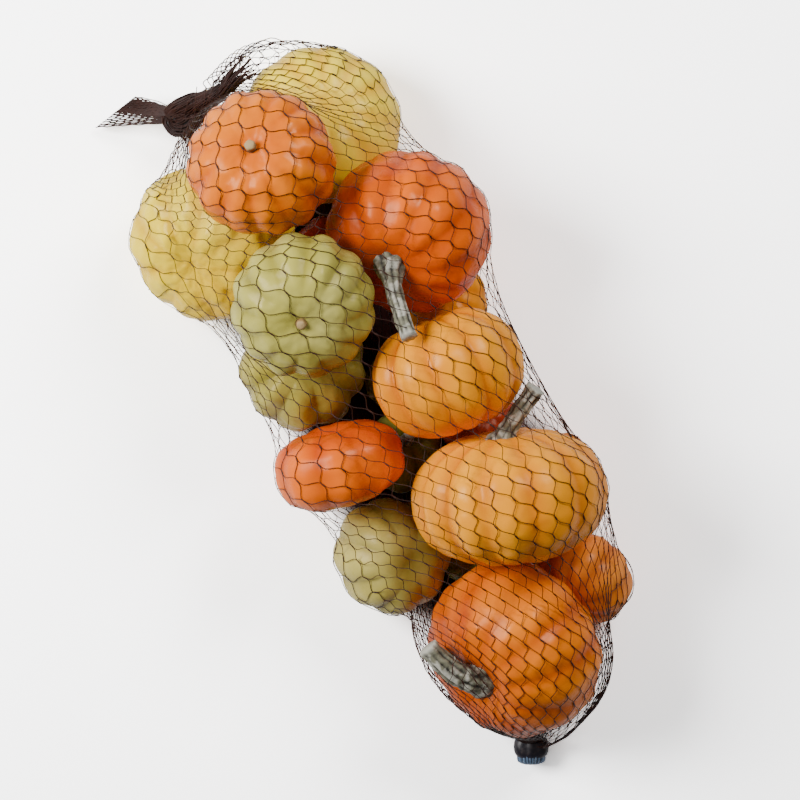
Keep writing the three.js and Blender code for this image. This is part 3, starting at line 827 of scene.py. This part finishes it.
def build_corky_stalk(gourd, stem):
    """A furrowed stalk, flared into the ribs at its foot and cut off at its end."""
    steps, sides = 44, 48
    path, radii, t, turn = stalk_grid(gourd, stem, steps, sides)
    winding = turn * FURROWS + FURROW_WINDING * t + phase(gourd["seed"], 7)
    ridge = np.abs(np.sin(winding / 2)) ** 0.6
    flare = 1 + STALK_FLARE * np.exp(-((t / 0.22) ** 2))
    collar = 1 + 0.06 * np.exp(-(((t - 1) / 0.05) ** 2))
    reach = radii * flare * collar * (1 - FURROW_DEPTH * (1 - ridge))
    spots = np.stack([np.cos(turn), np.sin(turn), 6 * t], axis=-1)
    rough = swell(spots.reshape(-1, 3) * 4.0, 2.6, gourd["seed"] + 20, 4).reshape(steps, sides)
    bm = swept_bmesh(path, reach * (1 + STALK_LUMPS * rough), sides)
    # the furrows darker, partly their own tone and partly painted shade
    furrow = np.clip(1.1 * (1 - ridge) - 0.5 * rough, 0, 1)
    cut = np.clip((t - 0.95) / 0.04, 0, 1) * 0.6
    rim = np.clip(1 - t / 0.07, 0, 1) * 0.4 * (rough > -0.1)
    return finish_stalk(gourd, "stalk", bm, furrow, np.maximum(cut, rim), CORKY_COLOURS)


def build_peg(gourd, stem):
    """A short dry peg, all that is left of a stalk."""
    path, radii, t, turn = stalk_grid(gourd, stem, 16, 20)
    round_off = 1 - 0.35 * np.clip((t - 0.86) / 0.14, 0, 1) ** 2
    reach = radii * (1 + 0.5 * np.exp(-((t / 0.35) ** 2))) * round_off
    reach = reach * (1 + 0.05 * np.cos(5 * turn + phase(gourd["seed"], 8)))
    bm = swept_bmesh(path, reach, turn.shape[1])
    # painted shade round the peg's foot, where it sits in its dimple
    furrow = 0.5 * np.exp(-((t / 0.3) ** 2))
    cut = np.clip((t - 0.7) / 0.3, 0, 1)
    return finish_stalk(gourd, "peg", bm, furrow, cut, PEG_COLOURS)


# ------------------------------------------------------------------ the net's lie

STEM_SHAPES = [stem_path(gourd_named(node), stem, 12) for node, stem in STEMS.items()]
AXES = {gourd["node"]: gourd_axes(gourd) for gourd in GOURDS}


def lengths(vectors):
    """The length of each vector, and never quite zero."""
    return np.sqrt((vectors * vectors).sum(axis=-1)) + 1e-9


def push_off_gourds(points, gap, exact=False):
    """Moves points that are inside a skin, or closer than the gap, straight out of it."""
    for gourd in GOURDS:
        centre = np.array(gourd["at"])
        limit = max(gourd["radius"], gourd["stem_half"], gourd["scar_half"]) * 1.06 + 2
        away = points - centre
        near = np.nonzero(np.einsum("ij,ij->i", away, away) < limit * limit)[0]
        if not len(near):
            continue
        local = away[near] @ AXES[gourd["node"]].T
        reach = lengths(local)
        heads = local / reach[:, None]
        across = np.hypot(heads[:, 0], heads[:, 1])
        around = np.arctan2(heads[:, 1], heads[:, 0])
        want = skin_radius(gourd, around, across, heads[:, 2]) + gap
        if exact:
            close = np.nonzero(reach < want + gourd["lumps"])[0]
            want[close] += lump_height(gourd, heads[close])
        inside = reach < want
        moved = near[inside]
        points[moved] = centre + away[moved] * (want[inside] / reach[inside])[:, None]


def push_off_stalks(points, gap):
    for middles, radii in STEM_SHAPES:
        low = middles.min(axis=0) - radii.max() - gap
        high = middles.max(axis=0) + radii.max() + gap
        near = np.nonzero(((points > low) & (points < high)).all(axis=1))[0]
        if not len(near):
            continue
        apart = points[near][:, None, :] - middles[None]
        distance = lengths(apart)
        room = distance - (radii * 1.08 + gap)
        nearest = room.argmin(axis=1)
        rows = np.arange(len(near))
        inside = room[rows, nearest] < 0
        step = -room[rows, nearest][inside] / distance[rows, nearest][inside]
        points[near[inside]] += apart[rows, nearest][inside] * step[:, None]


def clear_of_all(points, exact=False):
    flat = points.reshape(-1, 3)
    push_off_gourds(flat, STRAND_GAP, exact)
    push_off_stalks(flat, STRAND_GAP)
    flat[:, 2] = np.maximum(flat[:, 2], STRAND_RADIUS + FLOOR_GAP)
    return flat.reshape(points.shape)


def ring_at(centre, heading, radii, angles):
    """Points on a small oval square to a heading, at angles counted from +X towards +Z."""
    heading = np.array(heading) / np.linalg.norm(heading)
    side = np.cross(heading, (0, 0, 1.0))
    side /= np.linalg.norm(side)
    if side[0] < 0:
        side = -side
    up = np.array((0, 0, 1.0)) - heading * heading[2]
    up /= np.linalg.norm(up)
    wheel = radii[0] * np.cos(angles)[:, None] * side + radii[1] * np.sin(angles)[:, None] * up
    return np.array(centre) + wheel


def pull_together(first, last, length):
    """Shortens the strands between two sets of points that are longer than they should be."""
    between = last - first
    distance = lengths(between)
    share = np.maximum(distance - length, 0) / distance * 0.5
    step = between * share[..., None]
    return first + step, last - step


def hold_joint(first, last):
    between = last - first
    distance = lengths(between)
    step = between * ((distance - JOINT) / distance * 0.5)[..., None]
    return first + step, last - step


def loose_tube(at, angle):
    """The net before it is drawn tight: a wide tube between its two gathered ends."""
    at = at + SPREAD * np.sin(2 * math.pi * at)
    bulge = np.sin(np.pi * np.clip(at, 0, 1)) ** TUBE_BLUNTNESS
    x, y, z = (NECK[k] * (1 - at) + MOUTH[k] * at for k in range(3))
    height = z * (1 - bulge) + TUBE_HEIGHT * bulge
    radius = NECK_RADII[1] * (1 - bulge) + TUBE_RADIUS * bulge
    return np.stack([
        x * (1 - bulge) + radius * np.cos(angle),
        y + 0 * angle,
        np.maximum(height + radius * np.sin(angle), TUBE_FLOOR),
    ], axis=-1)


def held_folds(angle):
    """For each fold, which joints it takes up, where it holds them and how strongly."""
    row = np.arange(ROWS)[:, None]
    wrapped = (angle + math.pi) % (2 * math.pi) - math.pi
    folds = []
    for fold in FOLDS:
        spare = wrapped / math.radians(fold["span"])
        along = (row - fold["first_row"]) / fold["rows"] + 0 * spare
        chosen = (np.abs(spare) < 1) & (along >= 0) & (along <= 1)
        stops = np.linspace(0, 1, len(fold["line"]))
        place = np.stack([np.interp(along, stops, axis) for axis in zip(*fold["line"])], axis=-1)
        inward, upward = fold["depth"]
        place[..., 0] += fold["way_in"][0] * inward * np.abs(spare)
        place[..., 1] += fold["way_in"][1] * inward * np.abs(spare)
        place[..., 2] += upward * spare * np.clip(1 - along, FOLD_LEAST, 1)
        folds.append((chosen, place[chosen], fold["hold"]))
    return folds


def keep_in_bag(ends, folds):
    """Moves one end of every joint a step outwards, and keeps it within the bag's sides."""
    stations, left, right = np.array(SIDES).T
    low = np.interp(ends[..., 1], stations, left)
    high = np.interp(ends[..., 1], stations, right)
    middle, half = (low + high) / 2, (high - low) / 2
    side = (ends[..., 0] - middle) / half
    spring = SPRING * np.clip((ends[..., 1] - SPRING_START) / SPRING_GROWTH, SPRING_LEAST, 1)
    ends[..., 0] += spring * np.sign(side) * np.clip(2 * np.abs(side) - 1, 0, 1)
    ends[..., 1] += LIFT * np.clip((ends[..., 1] - KNOT_SHOULDER) / SHOULDER_GROWTH, 0, 1)
    ends[..., 1] -= LIFT * np.clip((CLIP_SHOULDER - ends[..., 1]) / SHOULDER_GROWTH, 0, 1)
    height = np.clip((ends[..., 2] - HEAP_MIDDLE) / HEAP_HALF, -HEAP_LIMIT, HEAP_LIMIT)
    room = half * np.sqrt(1 - height * height)
    ends[..., 0] = np.clip(ends[..., 0], middle - room, middle + room)
    ends[..., 1] = np.clip(ends[..., 1], stations[0], stations[-1])
    ends[..., 2] -= SAG
    for chosen, place, hold in folds:
        ends[chosen] += hold * (place - ends[chosen])


def relax_net(rounds):
    """The two ends of every welded joint of the net, as it lies tight over the heap."""
    row = np.arange(ROWS)[:, None]
    column = np.arange(COLUMNS)[None, :]
    pitch = 2 * math.pi / COLUMNS
    share = row / (ROWS - 1)
    angle = math.radians(FIRST_COLUMN) - pitch * column + pitch / 2 * row
    angle = angle + math.radians(TWIST) * share
    start = loose_tube(share - TUBE_JOINT / ROWS, angle)
    end = loose_tube(share + TUBE_JOINT / ROWS, angle)
    neck = ring_at(NECK, NECK_HEADING, NECK_RADII, angle[0])
    mouth = ring_at(MOUTH, MOUTH_HEADING, MOUTH_RADII, angle[-1])
    folds = held_folds(angle)
    for _ in range(rounds):
        for _ in range(2):
            end[:-1], slanted = pull_together(end[:-1], np.roll(start, -1, axis=1)[1:], LINK)
            start[1:] = np.roll(slanted, 1, axis=1)
            end[:-1], start[1:] = pull_together(end[:-1], start[1:], LINK)
            start, end = hold_joint(start, end)
        middle = (start + end) / 2
        around = middle[2:] + np.roll(middle, -1, axis=1)[2:]
        around = around + middle[:-2] + np.roll(middle, 1, axis=1)[:-2]
        shift = EVENNESS * (around / 4 - middle[1:-1])
        for ends in (start, end):
            ends[1:-1] += shift
            keep_in_bag(ends, folds)
        start[0] = neck
        end[-1] = mouth
        start = clear_of_all(start)
        end = clear_of_all(end)
    return start, end


def strand_paths(start, end, slanted):
    """One path for each strand of a family, through its joints, and the radius along it."""
    rows, columns, _ = start.shape
    order = np.arange(columns)[:, None] + (np.arange(rows)[None, :] if slanted else 0)
    order = order % columns
    row = np.arange(rows)[None, :] + 0 * order
    first = start[row, order]
    last = end[row, order]
    middle = (start + end) / 2
    round_bag = np.roll(middle, -1, axis=1) - np.roll(middle, 1, axis=1)
    welded = end - start
    outward = np.cross(welded, round_bag)
    beside = np.cross(outward, welded)
    beside /= np.linalg.norm(beside, axis=-1)[..., None] + 1e-9
    shift = beside[row, order] * STRAND_RADIUS * (WELD_APART if slanted else -WELD_APART)
    first = first + shift
    last = last + shift
    heading = (last - first) / (np.linalg.norm(last - first, axis=-1)[..., None] + 1e-9)
    gap = np.linalg.norm(first[:, 1:] - last[:, :-1], axis=-1)[..., None]
    lead_out = last[:, :-1] + heading[:, :-1] * gap * STRAND_LEAD
    lead_in = first[:, 1:] - heading[:, 1:] * gap * STRAND_LEAD
    points = []
    sizes = []
    for k in range(rows):
        points += [first[:, k], (first[:, k] + last[:, k]) / 2, last[:, k]]
        sizes += [STRAND_RADIUS, JOINT_RADIUS, STRAND_RADIUS]
        if k == rows - 1:
            break
        for t in np.linspace(0, 1, STRAND_POINTS + 2)[1:-1]:
            points.append(
                last[:, k] * (1 - t) ** 3 + 3 * lead_out[:, k] * t * (1 - t) ** 2
                + 3 * lead_in[:, k] * t * t * (1 - t) + first[:, k + 1] * t ** 3
            )
            sizes.append(STRAND_RADIUS * STRAND_THINNING)
    return clear_of_all(np.stack(points, axis=1), exact=True), np.array(sizes)


def strand_piece(name, paths, sizes, material):
    """A piece of many thin strands, one for each path; sizes are radii in millimetres."""
    curve = bpy.data.curves.new(name, "CURVE")
    curve.dimensions = "3D"
    curve.bevel_depth = MM
    curve.bevel_resolution = 0
    curve.use_fill_caps = True
    for number, path in enumerate(paths):
        radii = sizes[number] if np.ndim(sizes) > 1 else sizes
        spline = curve.splines.new("POLY")
        spline.points.add(len(path) - 1)
        spline.points.foreach_set("co", np.c_[path * MM, np.ones(len(path))].ravel())
        spline.points.foreach_set("radius", np.array(np.broadcast_to(radii, len(path)), float))
    holder = bpy.data.objects.new(name + "_curve", curve)
    bpy.context.scene.collection.objects.link(holder)
    graph = bpy.context.evaluated_depsgraph_get()
    mesh = bpy.data.meshes.new_from_object(holder.evaluated_get(graph))
    bpy.data.objects.remove(holder)
    bpy.data.curves.remove(curve)
    mesh.name = name
    return dress_piece(name, mesh, material, "net")


def bundle_paths(middles, radii, count, turns, seed, ragged, steps=26, fill=0.35):
    """Strands that run together along a rope, winding slowly round its middle.

    ragged is the share of the rope over which they join it one by one."""
    draw = np.random.default_rng(seed)
    t = np.linspace(0, 1, steps)
    line = smooth_line(middles, steps)
    width = np.interp(t, np.linspace(0, 1, len(middles)), radii)
    _, side, up = along_frames(line)
    start = draw.uniform(0, 2 * math.pi, count)
    depth = 1 - fill * draw.random(count) ** 2
    wander = draw.normal(0, 0.05, (count, 4))
    paths = []
    for k in range(count):
        drift = sum(wander[k, h] * np.sin((h + 2) * math.pi * t + h) for h in range(4))
        angle = start[k] + turns * 2 * math.pi * t + 3 * drift
        reach = width * depth[k] * (1 + drift)
        path = line + (np.cos(angle) * reach)[:, None] * side
        path = path + (np.sin(angle) * reach)[:, None] * up
        joins = np.linspace(ragged * draw.random(), 1, steps)
        paths.append(np.stack([np.interp(joins, t, axis) for axis in path.T], axis=-1))
    return clear_of_all(np.array(paths), exact=True)


def smooth_line(stops, steps):
    """A Catmull-Rom curve through a few stops."""
    stops = np.array(stops, float)
    padded = np.vstack([2 * stops[0] - stops[1], stops, 2 * stops[-1] - stops[-2]])
    at = np.linspace(0, len(stops) - 1, steps)
    cell = np.minimum(at.astype(int), len(stops) - 2)
    t = (at - cell)[:, None]
    a, b, c, d = (padded[cell + k] for k in range(4))
    square = (2 * a - 5 * b + 4 * c - d) * t ** 2
    return 0.5 * (2 * b + (c - a) * t + square + (3 * b - a - 3 * c + d) * t ** 3)


def tail_paths(count, low, high, lift, seed, steps=34):
    """Strands of the flattened tail, which part and meet again as its cells do."""
    draw = np.random.default_rng(seed)
    (root, far_root), (end, far_end) = np.array(TAIL_ROOT, float), np.array(TAIL_END, float)
    t = np.linspace(0, 1, steps)
    width = (high - low) / count
    rise = np.outer(TAIL_SAG * np.sin(math.pi * t) + lift, (0, 0, 1.0))
    paths = []
    for k in range(count):
        place = low + (high - low) * (k + 0.5 + draw.uniform(-0.2, 0.2)) / count
        late = draw.uniform(-0.5, 0.5)
        wave = TAIL_SWING * width * np.sin(2 * math.pi * TAIL_CELLS * t + math.pi * k + late)
        share = (place + wave * np.clip(4 * t, 0, 1))[:, None]
        start = root + (far_root - root) * share
        finish = end + (far_end - end) * share
        paths.append(start + (finish - start) * t[:, None] + rise)
    return np.array(paths)


def loop_paths():
    """Loose cells of the net that stand off the gathered neck."""
    feet = smooth_line(LOOP_FEET, LOOPS)
    rims = smooth_line(LOOP_RIMS, LOOPS)
    share, aside = LOOP_RISE
    end_x, end_y, end_z = LOOP_END
    return np.array([
        smooth_line((
            foot, foot * (1 - share) + rim * share + aside, rim + LOOP_TURN,
            rim + (end_x, end_y - LOOP_DROOP * k, end_z),
        ), 11)
        for k, (foot, rim) in enumerate(zip(feet, rims))
    ])


def core_bmesh(stops, radii, steps=18, sides=14):
    """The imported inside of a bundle, so that it can't be seen through."""
    line = smooth_line(stops, steps)
    reach = np.interp(np.linspace(0, 1, steps), np.linspace(0, 1, len(radii)), radii) * CORE_SHARE
    reach[[0, -1]] *= 0.3
    return swept_bmesh(line, np.repeat(reach[:, None], sides, axis=1), sides)


# ------------------------------------------------------------------ the crimped band

def build_band():
    """A dark moulded band with blunt facets, and the pinched, ribbed end that it closes."""
    axis = np.array(BAND_AXIS)
    middle = np.array(BAND_AT)
    turn = np.linspace(0, 2 * math.pi, BAND_SIDES, endpoint=False)
    oval = 1 / np.hypot(np.cos(turn) / BAND_HALF[0], np.sin(turn) / BAND_HALF[1])

    t = np.linspace(0, 1, 13)
    path = middle + (BAND_LENGTH * (0.5 - t))[:, None] * axis
    facets = 1 - FACET_DEPTH * np.cos(BAND_FACETS * turn)
    swelling = 0.1 * np.sin(math.pi * np.clip(t * 1.15, 0, 1))
    waist = 0.9 + swelling - 0.22 * np.clip((t - 0.75) / 0.25, 0, 1) ** 2
    waist[0] *= 0.9
    bm = swept_bmesh(path, waist[:, None] * (oval * facets)[None, :], BAND_SIDES)
    # the band's colour goes paler and bluer towards its two ends
    paler = np.repeat(np.abs(2 * t - 1) ** 6, BAND_SIDES)
    float_layer(bm, "pale_ends_and_rib_sheen", np.resize(paler, len(bm.verts)))
    finish_piece("crimp_band", bm, band_material(), "end_clip")

    t = np.linspace(0, 1, 9)
    path = middle - (BAND_LENGTH / 2 - CRIMP_OVERLAP + CRIMP_LENGTH * t)[:, None] * axis
    ribs = 1 + CRIMP_RIB_DEPTH * np.cos(CRIMP_RIBS * turn)
    dome = CRIMP_SIZE * np.sqrt(np.clip(1 - (t * 0.93) ** 4, 0.05, 1))
    bm = swept_bmesh(path, dome[:, None] * (oval * ribs)[None, :], BAND_SIDES)
    # a painted highlight along the ribs of the pinched end
    paler = np.cos(CRIMP_RIBS * turn) * 0.5 + 0.5
    float_layer(bm, "pale_ends_and_rib_sheen", np.resize(paler, len(bm.verts)))
    finish_piece("crimp_end", bm, crimp_end_material(), "end_clip")


def band_material():
    """Near-black plastic with a blue cast, duller where it is scuffed, paler and bluer towards
    its two ends.
    """
    material, tree, shader = bare_material("band_plastic")
    scuff = add_noise(tree, object_coordinates(tree), 380.0, 4.0, 0.6)
    tone = add_mix(tree, add_range(tree, scuff, 0.45, 0.7), colour("#17131C"), colour("#2E2628"))
    pale_ends = add_math(tree, "MULTIPLY", add_attribute(tree, "pale_ends_and_rib_sheen"), 0.6)
    tone = add_mix(tree, pale_ends, tone, colour("#2C2F4A"))
    tree.links.new(tone, shader.inputs["Base Color"])
    tree.links.new(add_range(tree, scuff, 0.3, 0.7, 0.28, 0.5), shader.inputs["Roughness"])
    add_bump(tree, shader, scuff, 0.25, 0.0004)
    return material


def crimp_end_material():
    """The band's pinched end: blue-grey, with a painted highlight along its ribs and darker
    between them.
    """
    material, tree, shader = bare_material("crimp_end")
    speck = add_noise(tree, object_coordinates(tree), 700.0, 3.0, 0.6)
    tone = add_mix(tree, add_attribute(tree, "pale_ends_and_rib_sheen"), colour("#1E2838"), colour("#6E86A4"))
    tone = add_mix(tree, add_range(tree, speck, 0.5, 0.72, 0.0, 0.5), tone, colour("#A9BBD0"))
    tree.links.new(tone, shader.inputs["Base Color"])
    shader.inputs["Roughness"].default_value = 0.3
    shader.inputs["Metallic"].default_value = 0.35
    return material


# ------------------------------------------------------------------ settings

class GourdBagSettings(bpy.types.PropertyGroup):
    """What a user would change on the bag."""

    skin_segments: bpy.props.IntProperty(
        name="Skin segments", description="Faces round each gourd", default=180, min=24, max=360,
    )
    skin_rings: bpy.props.IntProperty(
        name="Skin rings", description="Faces from stem to scar", default=90, min=12, max=180,
    )
    net_colour: bpy.props.FloatVectorProperty(
        name="Net colour", description="Colour of the strands", subtype="COLOR", size=3,
        default=colour(STRAND_COLOUR)[:3], min=0.0, max=1.0,
    )
    floor_colour: bpy.props.FloatVectorProperty(
        name="Floor colour", description="Colour of the surface under the bag", subtype="COLOR",
        size=3, default=(0.9, 0.9, 0.9), min=0.0, max=1.0,
    )
    key_power: bpy.props.FloatProperty(
        name="Left light", description="Power of the broad light on the left", default=25.0,
        min=0.0, unit="POWER",
    )
    fill_power: bpy.props.FloatProperty(
        name="Right light", description="Power of the light on the upper right", default=13.0,
        min=0.0, unit="POWER",
    )


# ------------------------------------------------------------------ operators

class GOURDBAG_OT_skins(bpy.types.Operator):
    """Add the gourds' skins"""

    bl_idname = "gourdbag.skins"
    bl_label = "Add gourd skins"

    def execute(self, context):
        settings = context.scene.gourd_bag
        low = {node for node, *_ in LOW_GOURDS}
        for gourd in GOURDS:
            coarser = 2 if gourd["node"] in low else 1
            build_skin(gourd, settings.skin_segments // coarser, settings.skin_rings // coarser)
        return {"FINISHED"}


class GOURDBAG_OT_stalks(bpy.types.Operator):
    """Add the stalks and the dry pegs"""

    bl_idname = "gourdbag.stalks"
    bl_label = "Add stalks"

    def execute(self, context):
        builders = {"corky": build_corky_stalk, "peg": build_peg}
        for node, stem in STEMS.items():
            builders[stem["finish"]](gourd_named(node), stem)
        return {"FINISHED"}


class GOURDBAG_OT_net(bpy.types.Operator):
    """Stretch the tubular net over the heap, as its two families of strands"""

    bl_idname = "gourdbag.net"
    bl_label = "Add net"

    def execute(self, context):
        material = strand_material("net_strand", context.scene.gourd_bag.net_colour)
        start, end = relax_net(ROUNDS)
        for name, slanted in (("net_strands_right", True), ("net_strands_left", False)):
            paths, sizes = strand_paths(start, end, slanted)
            strand_piece(name, paths, sizes, material)
        return {"FINISHED"}


class GOURDBAG_OT_knot(bpy.types.Operator):
    """Add the gathered neck, the knot, its tail and the loose strands round it"""

    bl_idname = "gourdbag.knot"
    bl_label = "Add knot and tail"

    def execute(self, context):
        material = strand_material("net_strand", context.scene.gourd_bag.net_colour)
        # the packed core of each lobe, darker than the strands as painted shade
        core_shade = strand_material("core_strands_shade", colour(CORE_STRANDS_SHADE)[:3])
        for name, stops, radii, count, turns, seed, joined in LOBES:
            ragged = (joined + 1) / len(stops) if joined else 0.0
            paths = bundle_paths(stops, radii, count, turns, seed, ragged)
            strand_piece(name, paths, BUNCHED_RADIUS, material)
            core = core_bmesh(stops[joined:], radii[joined:])
            finish_piece(name + "_core", core, core_shade, "net")
        tail = np.concatenate([tail_paths(*layer) for layer in TAIL_LAYERS])
        strays = np.array([smooth_line(line, 16) for line in STRAYS])
        strand_piece("knot_tail", tail, BUNCHED_RADIUS, material)
        strand_piece("neck_loops", loop_paths(), LOOP_RADIUS, material)
        strand_piece("loose_strands", strays, STRAY_RADIUS, material)
        return {"FINISHED"}


class GOURDBAG_OT_band(bpy.types.Operator):
    """Add the band that crimps the net's other end"""

    bl_idname = "gourdbag.band"
    bl_label = "Add crimped band"

    def execute(self, context):
        build_band()
        return {"FINISHED"}


class GOURDBAG_OT_stage(bpy.types.Operator):
    """Add the pale floor, the soft lights and the camera"""

    bl_idname = "gourdbag.stage"
    bl_label = "Add stage"

    def execute(self, context):
        settings = context.scene.gourd_bag
        add_floor(settings.floor_colour)
        turn = math.radians(-VIEW_TURN)
        left = Vector((-math.cos(turn), -math.sin(turn), 0))
        top = Vector((-math.sin(turn), math.cos(turn), 0))
        powers = (settings.key_power, settings.fill_power)
        for (name, (to_left, to_top, up), size), power in zip(LIGHTS, powers):
            place = left * to_left + top * to_top + Vector((0, 0, up))
            add_softbox(name, place, size, power)
        context.scene.world = studio_world()
        camera = bpy.data.objects.new("camera", bpy.data.cameras.new("camera"))
        camera.data.lens = LENS
        camera.data.sensor_width = SENSOR
        camera.location = (0.0, VIEW_SHIFT, VIEW_HEIGHT)
        camera.rotation_euler = (0.0, 0.0, turn)
        context.scene.collection.objects.link(camera)
        context.scene.camera = camera
        return {"FINISHED"}


def studio_world():
    """Even light from all round, which the camera sees as a bright backdrop."""
    world = bpy.data.worlds.new("studio")
    world.use_nodes = True
    tree = world.node_tree
    backdrop = next(n for n in tree.nodes if n.type == "BACKGROUND")
    backdrop.inputs["Color"].default_value = (1.0, 1.0, 1.0, 1.0)
    seen = tree.nodes.new("ShaderNodeLightPath").outputs["Is Camera Ray"]
    strength = add_range(tree, seen, 0.0, 1.0, WORLD_LIGHT, BACKDROP)
    tree.links.new(strength, backdrop.inputs["Strength"])
    return world


def add_floor(tint):
    """A matte surface that the camera sees brighter than it lights the gourds, with a dark painted
    shade where the net and the gourds close it in."""
    bm = bmesh.new()
    bmesh.ops.create_grid(bm, x_segments=1, y_segments=1, size=FLOOR_HALF)
    mesh = bpy.data.meshes.new("floor")
    bm.to_mesh(mesh)
    bm.free()
    material, tree, shader = bare_material("pale_floor")
    shader.inputs["Base Color"].default_value = (*tint, 1.0)
    shader.inputs["Roughness"].default_value = 0.9
    nook = tree.nodes.new("ShaderNodeAmbientOcclusion")
    nook.inputs["Distance"].default_value = NOOK_REACH
    open_floor = add_range(tree, nook.outputs["AO"], *NOOK_OPENNESS)
    lit = (*(FLOOR_GAIN * channel for channel in tint), 1.0)
    seen = tree.nodes.new("ShaderNodeBsdfDiffuse")
    # painted shade where the heap closes the floor in
    tree.links.new(add_mix(tree, open_floor, NOOK_PAINTED_SHADE, lit), seen.inputs["Color"])
    mix = tree.nodes.new("ShaderNodeMixShader")
    tree.links.new(tree.nodes.new("ShaderNodeLightPath").outputs["Is Camera Ray"], mix.inputs[0])
    tree.links.new(shader.outputs["BSDF"], mix.inputs[1])
    tree.links.new(seen.outputs["BSDF"], mix.inputs[2])
    output = next(n for n in tree.nodes if n.type == "OUTPUT_MATERIAL")
    tree.links.new(mix.outputs["Shader"], output.inputs["Surface"])
    mesh.materials.append(material)
    floor = bpy.data.objects.new("floor", mesh)
    bpy.context.scene.collection.objects.link(floor)


def add_softbox(name, place, size, power):
    light = bpy.data.lights.new(name, "AREA")
    light.shape = "SQUARE"
    light.size = size
    light.energy = power
    lamp = bpy.data.objects.new(name, light)
    lamp.location = place
    lamp.rotation_euler = (LIT_POINT - place).to_track_quat("-Z", "Y").to_euler()
    bpy.context.scene.collection.objects.link(lamp)


class GOURDBAG_PT_panel(bpy.types.Panel):
    """The bag's settings and the steps that build it"""

    bl_label = "Net of gourds"
    bl_idname = "GOURDBAG_PT_panel"
    bl_space_type = "VIEW_3D"
    bl_region_type = "UI"
    bl_category = "Gourds"

    def draw(self, context):
        settings = context.scene.gourd_bag
        for name in settings.__annotations__:
            self.layout.prop(settings, name)
        for step in STEPS:
            self.layout.operator(step.bl_idname)


STEPS = (
    GOURDBAG_OT_skins, GOURDBAG_OT_stalks, GOURDBAG_OT_net, GOURDBAG_OT_knot, GOURDBAG_OT_band,
    GOURDBAG_OT_stage,
)
CLASSES = (GourdBagSettings, *STEPS, GOURDBAG_PT_panel)


def register():
    for item in CLASSES:
        bpy.utils.register_class(item)
    bpy.types.Scene.gourd_bag = bpy.props.PointerProperty(type=GourdBagSettings)


def unregister():
    del bpy.types.Scene.gourd_bag
    for item in reversed(CLASSES):
        bpy.utils.unregister_class(item)


def main():
    register()
    bpy.ops.gourdbag.skins()
    bpy.ops.gourdbag.stalks()
    bpy.ops.gourdbag.net()
    bpy.ops.gourdbag.knot()
    bpy.ops.gourdbag.band()
    bpy.ops.gourdbag.stage()


if __name__ == "__main__":
    main()
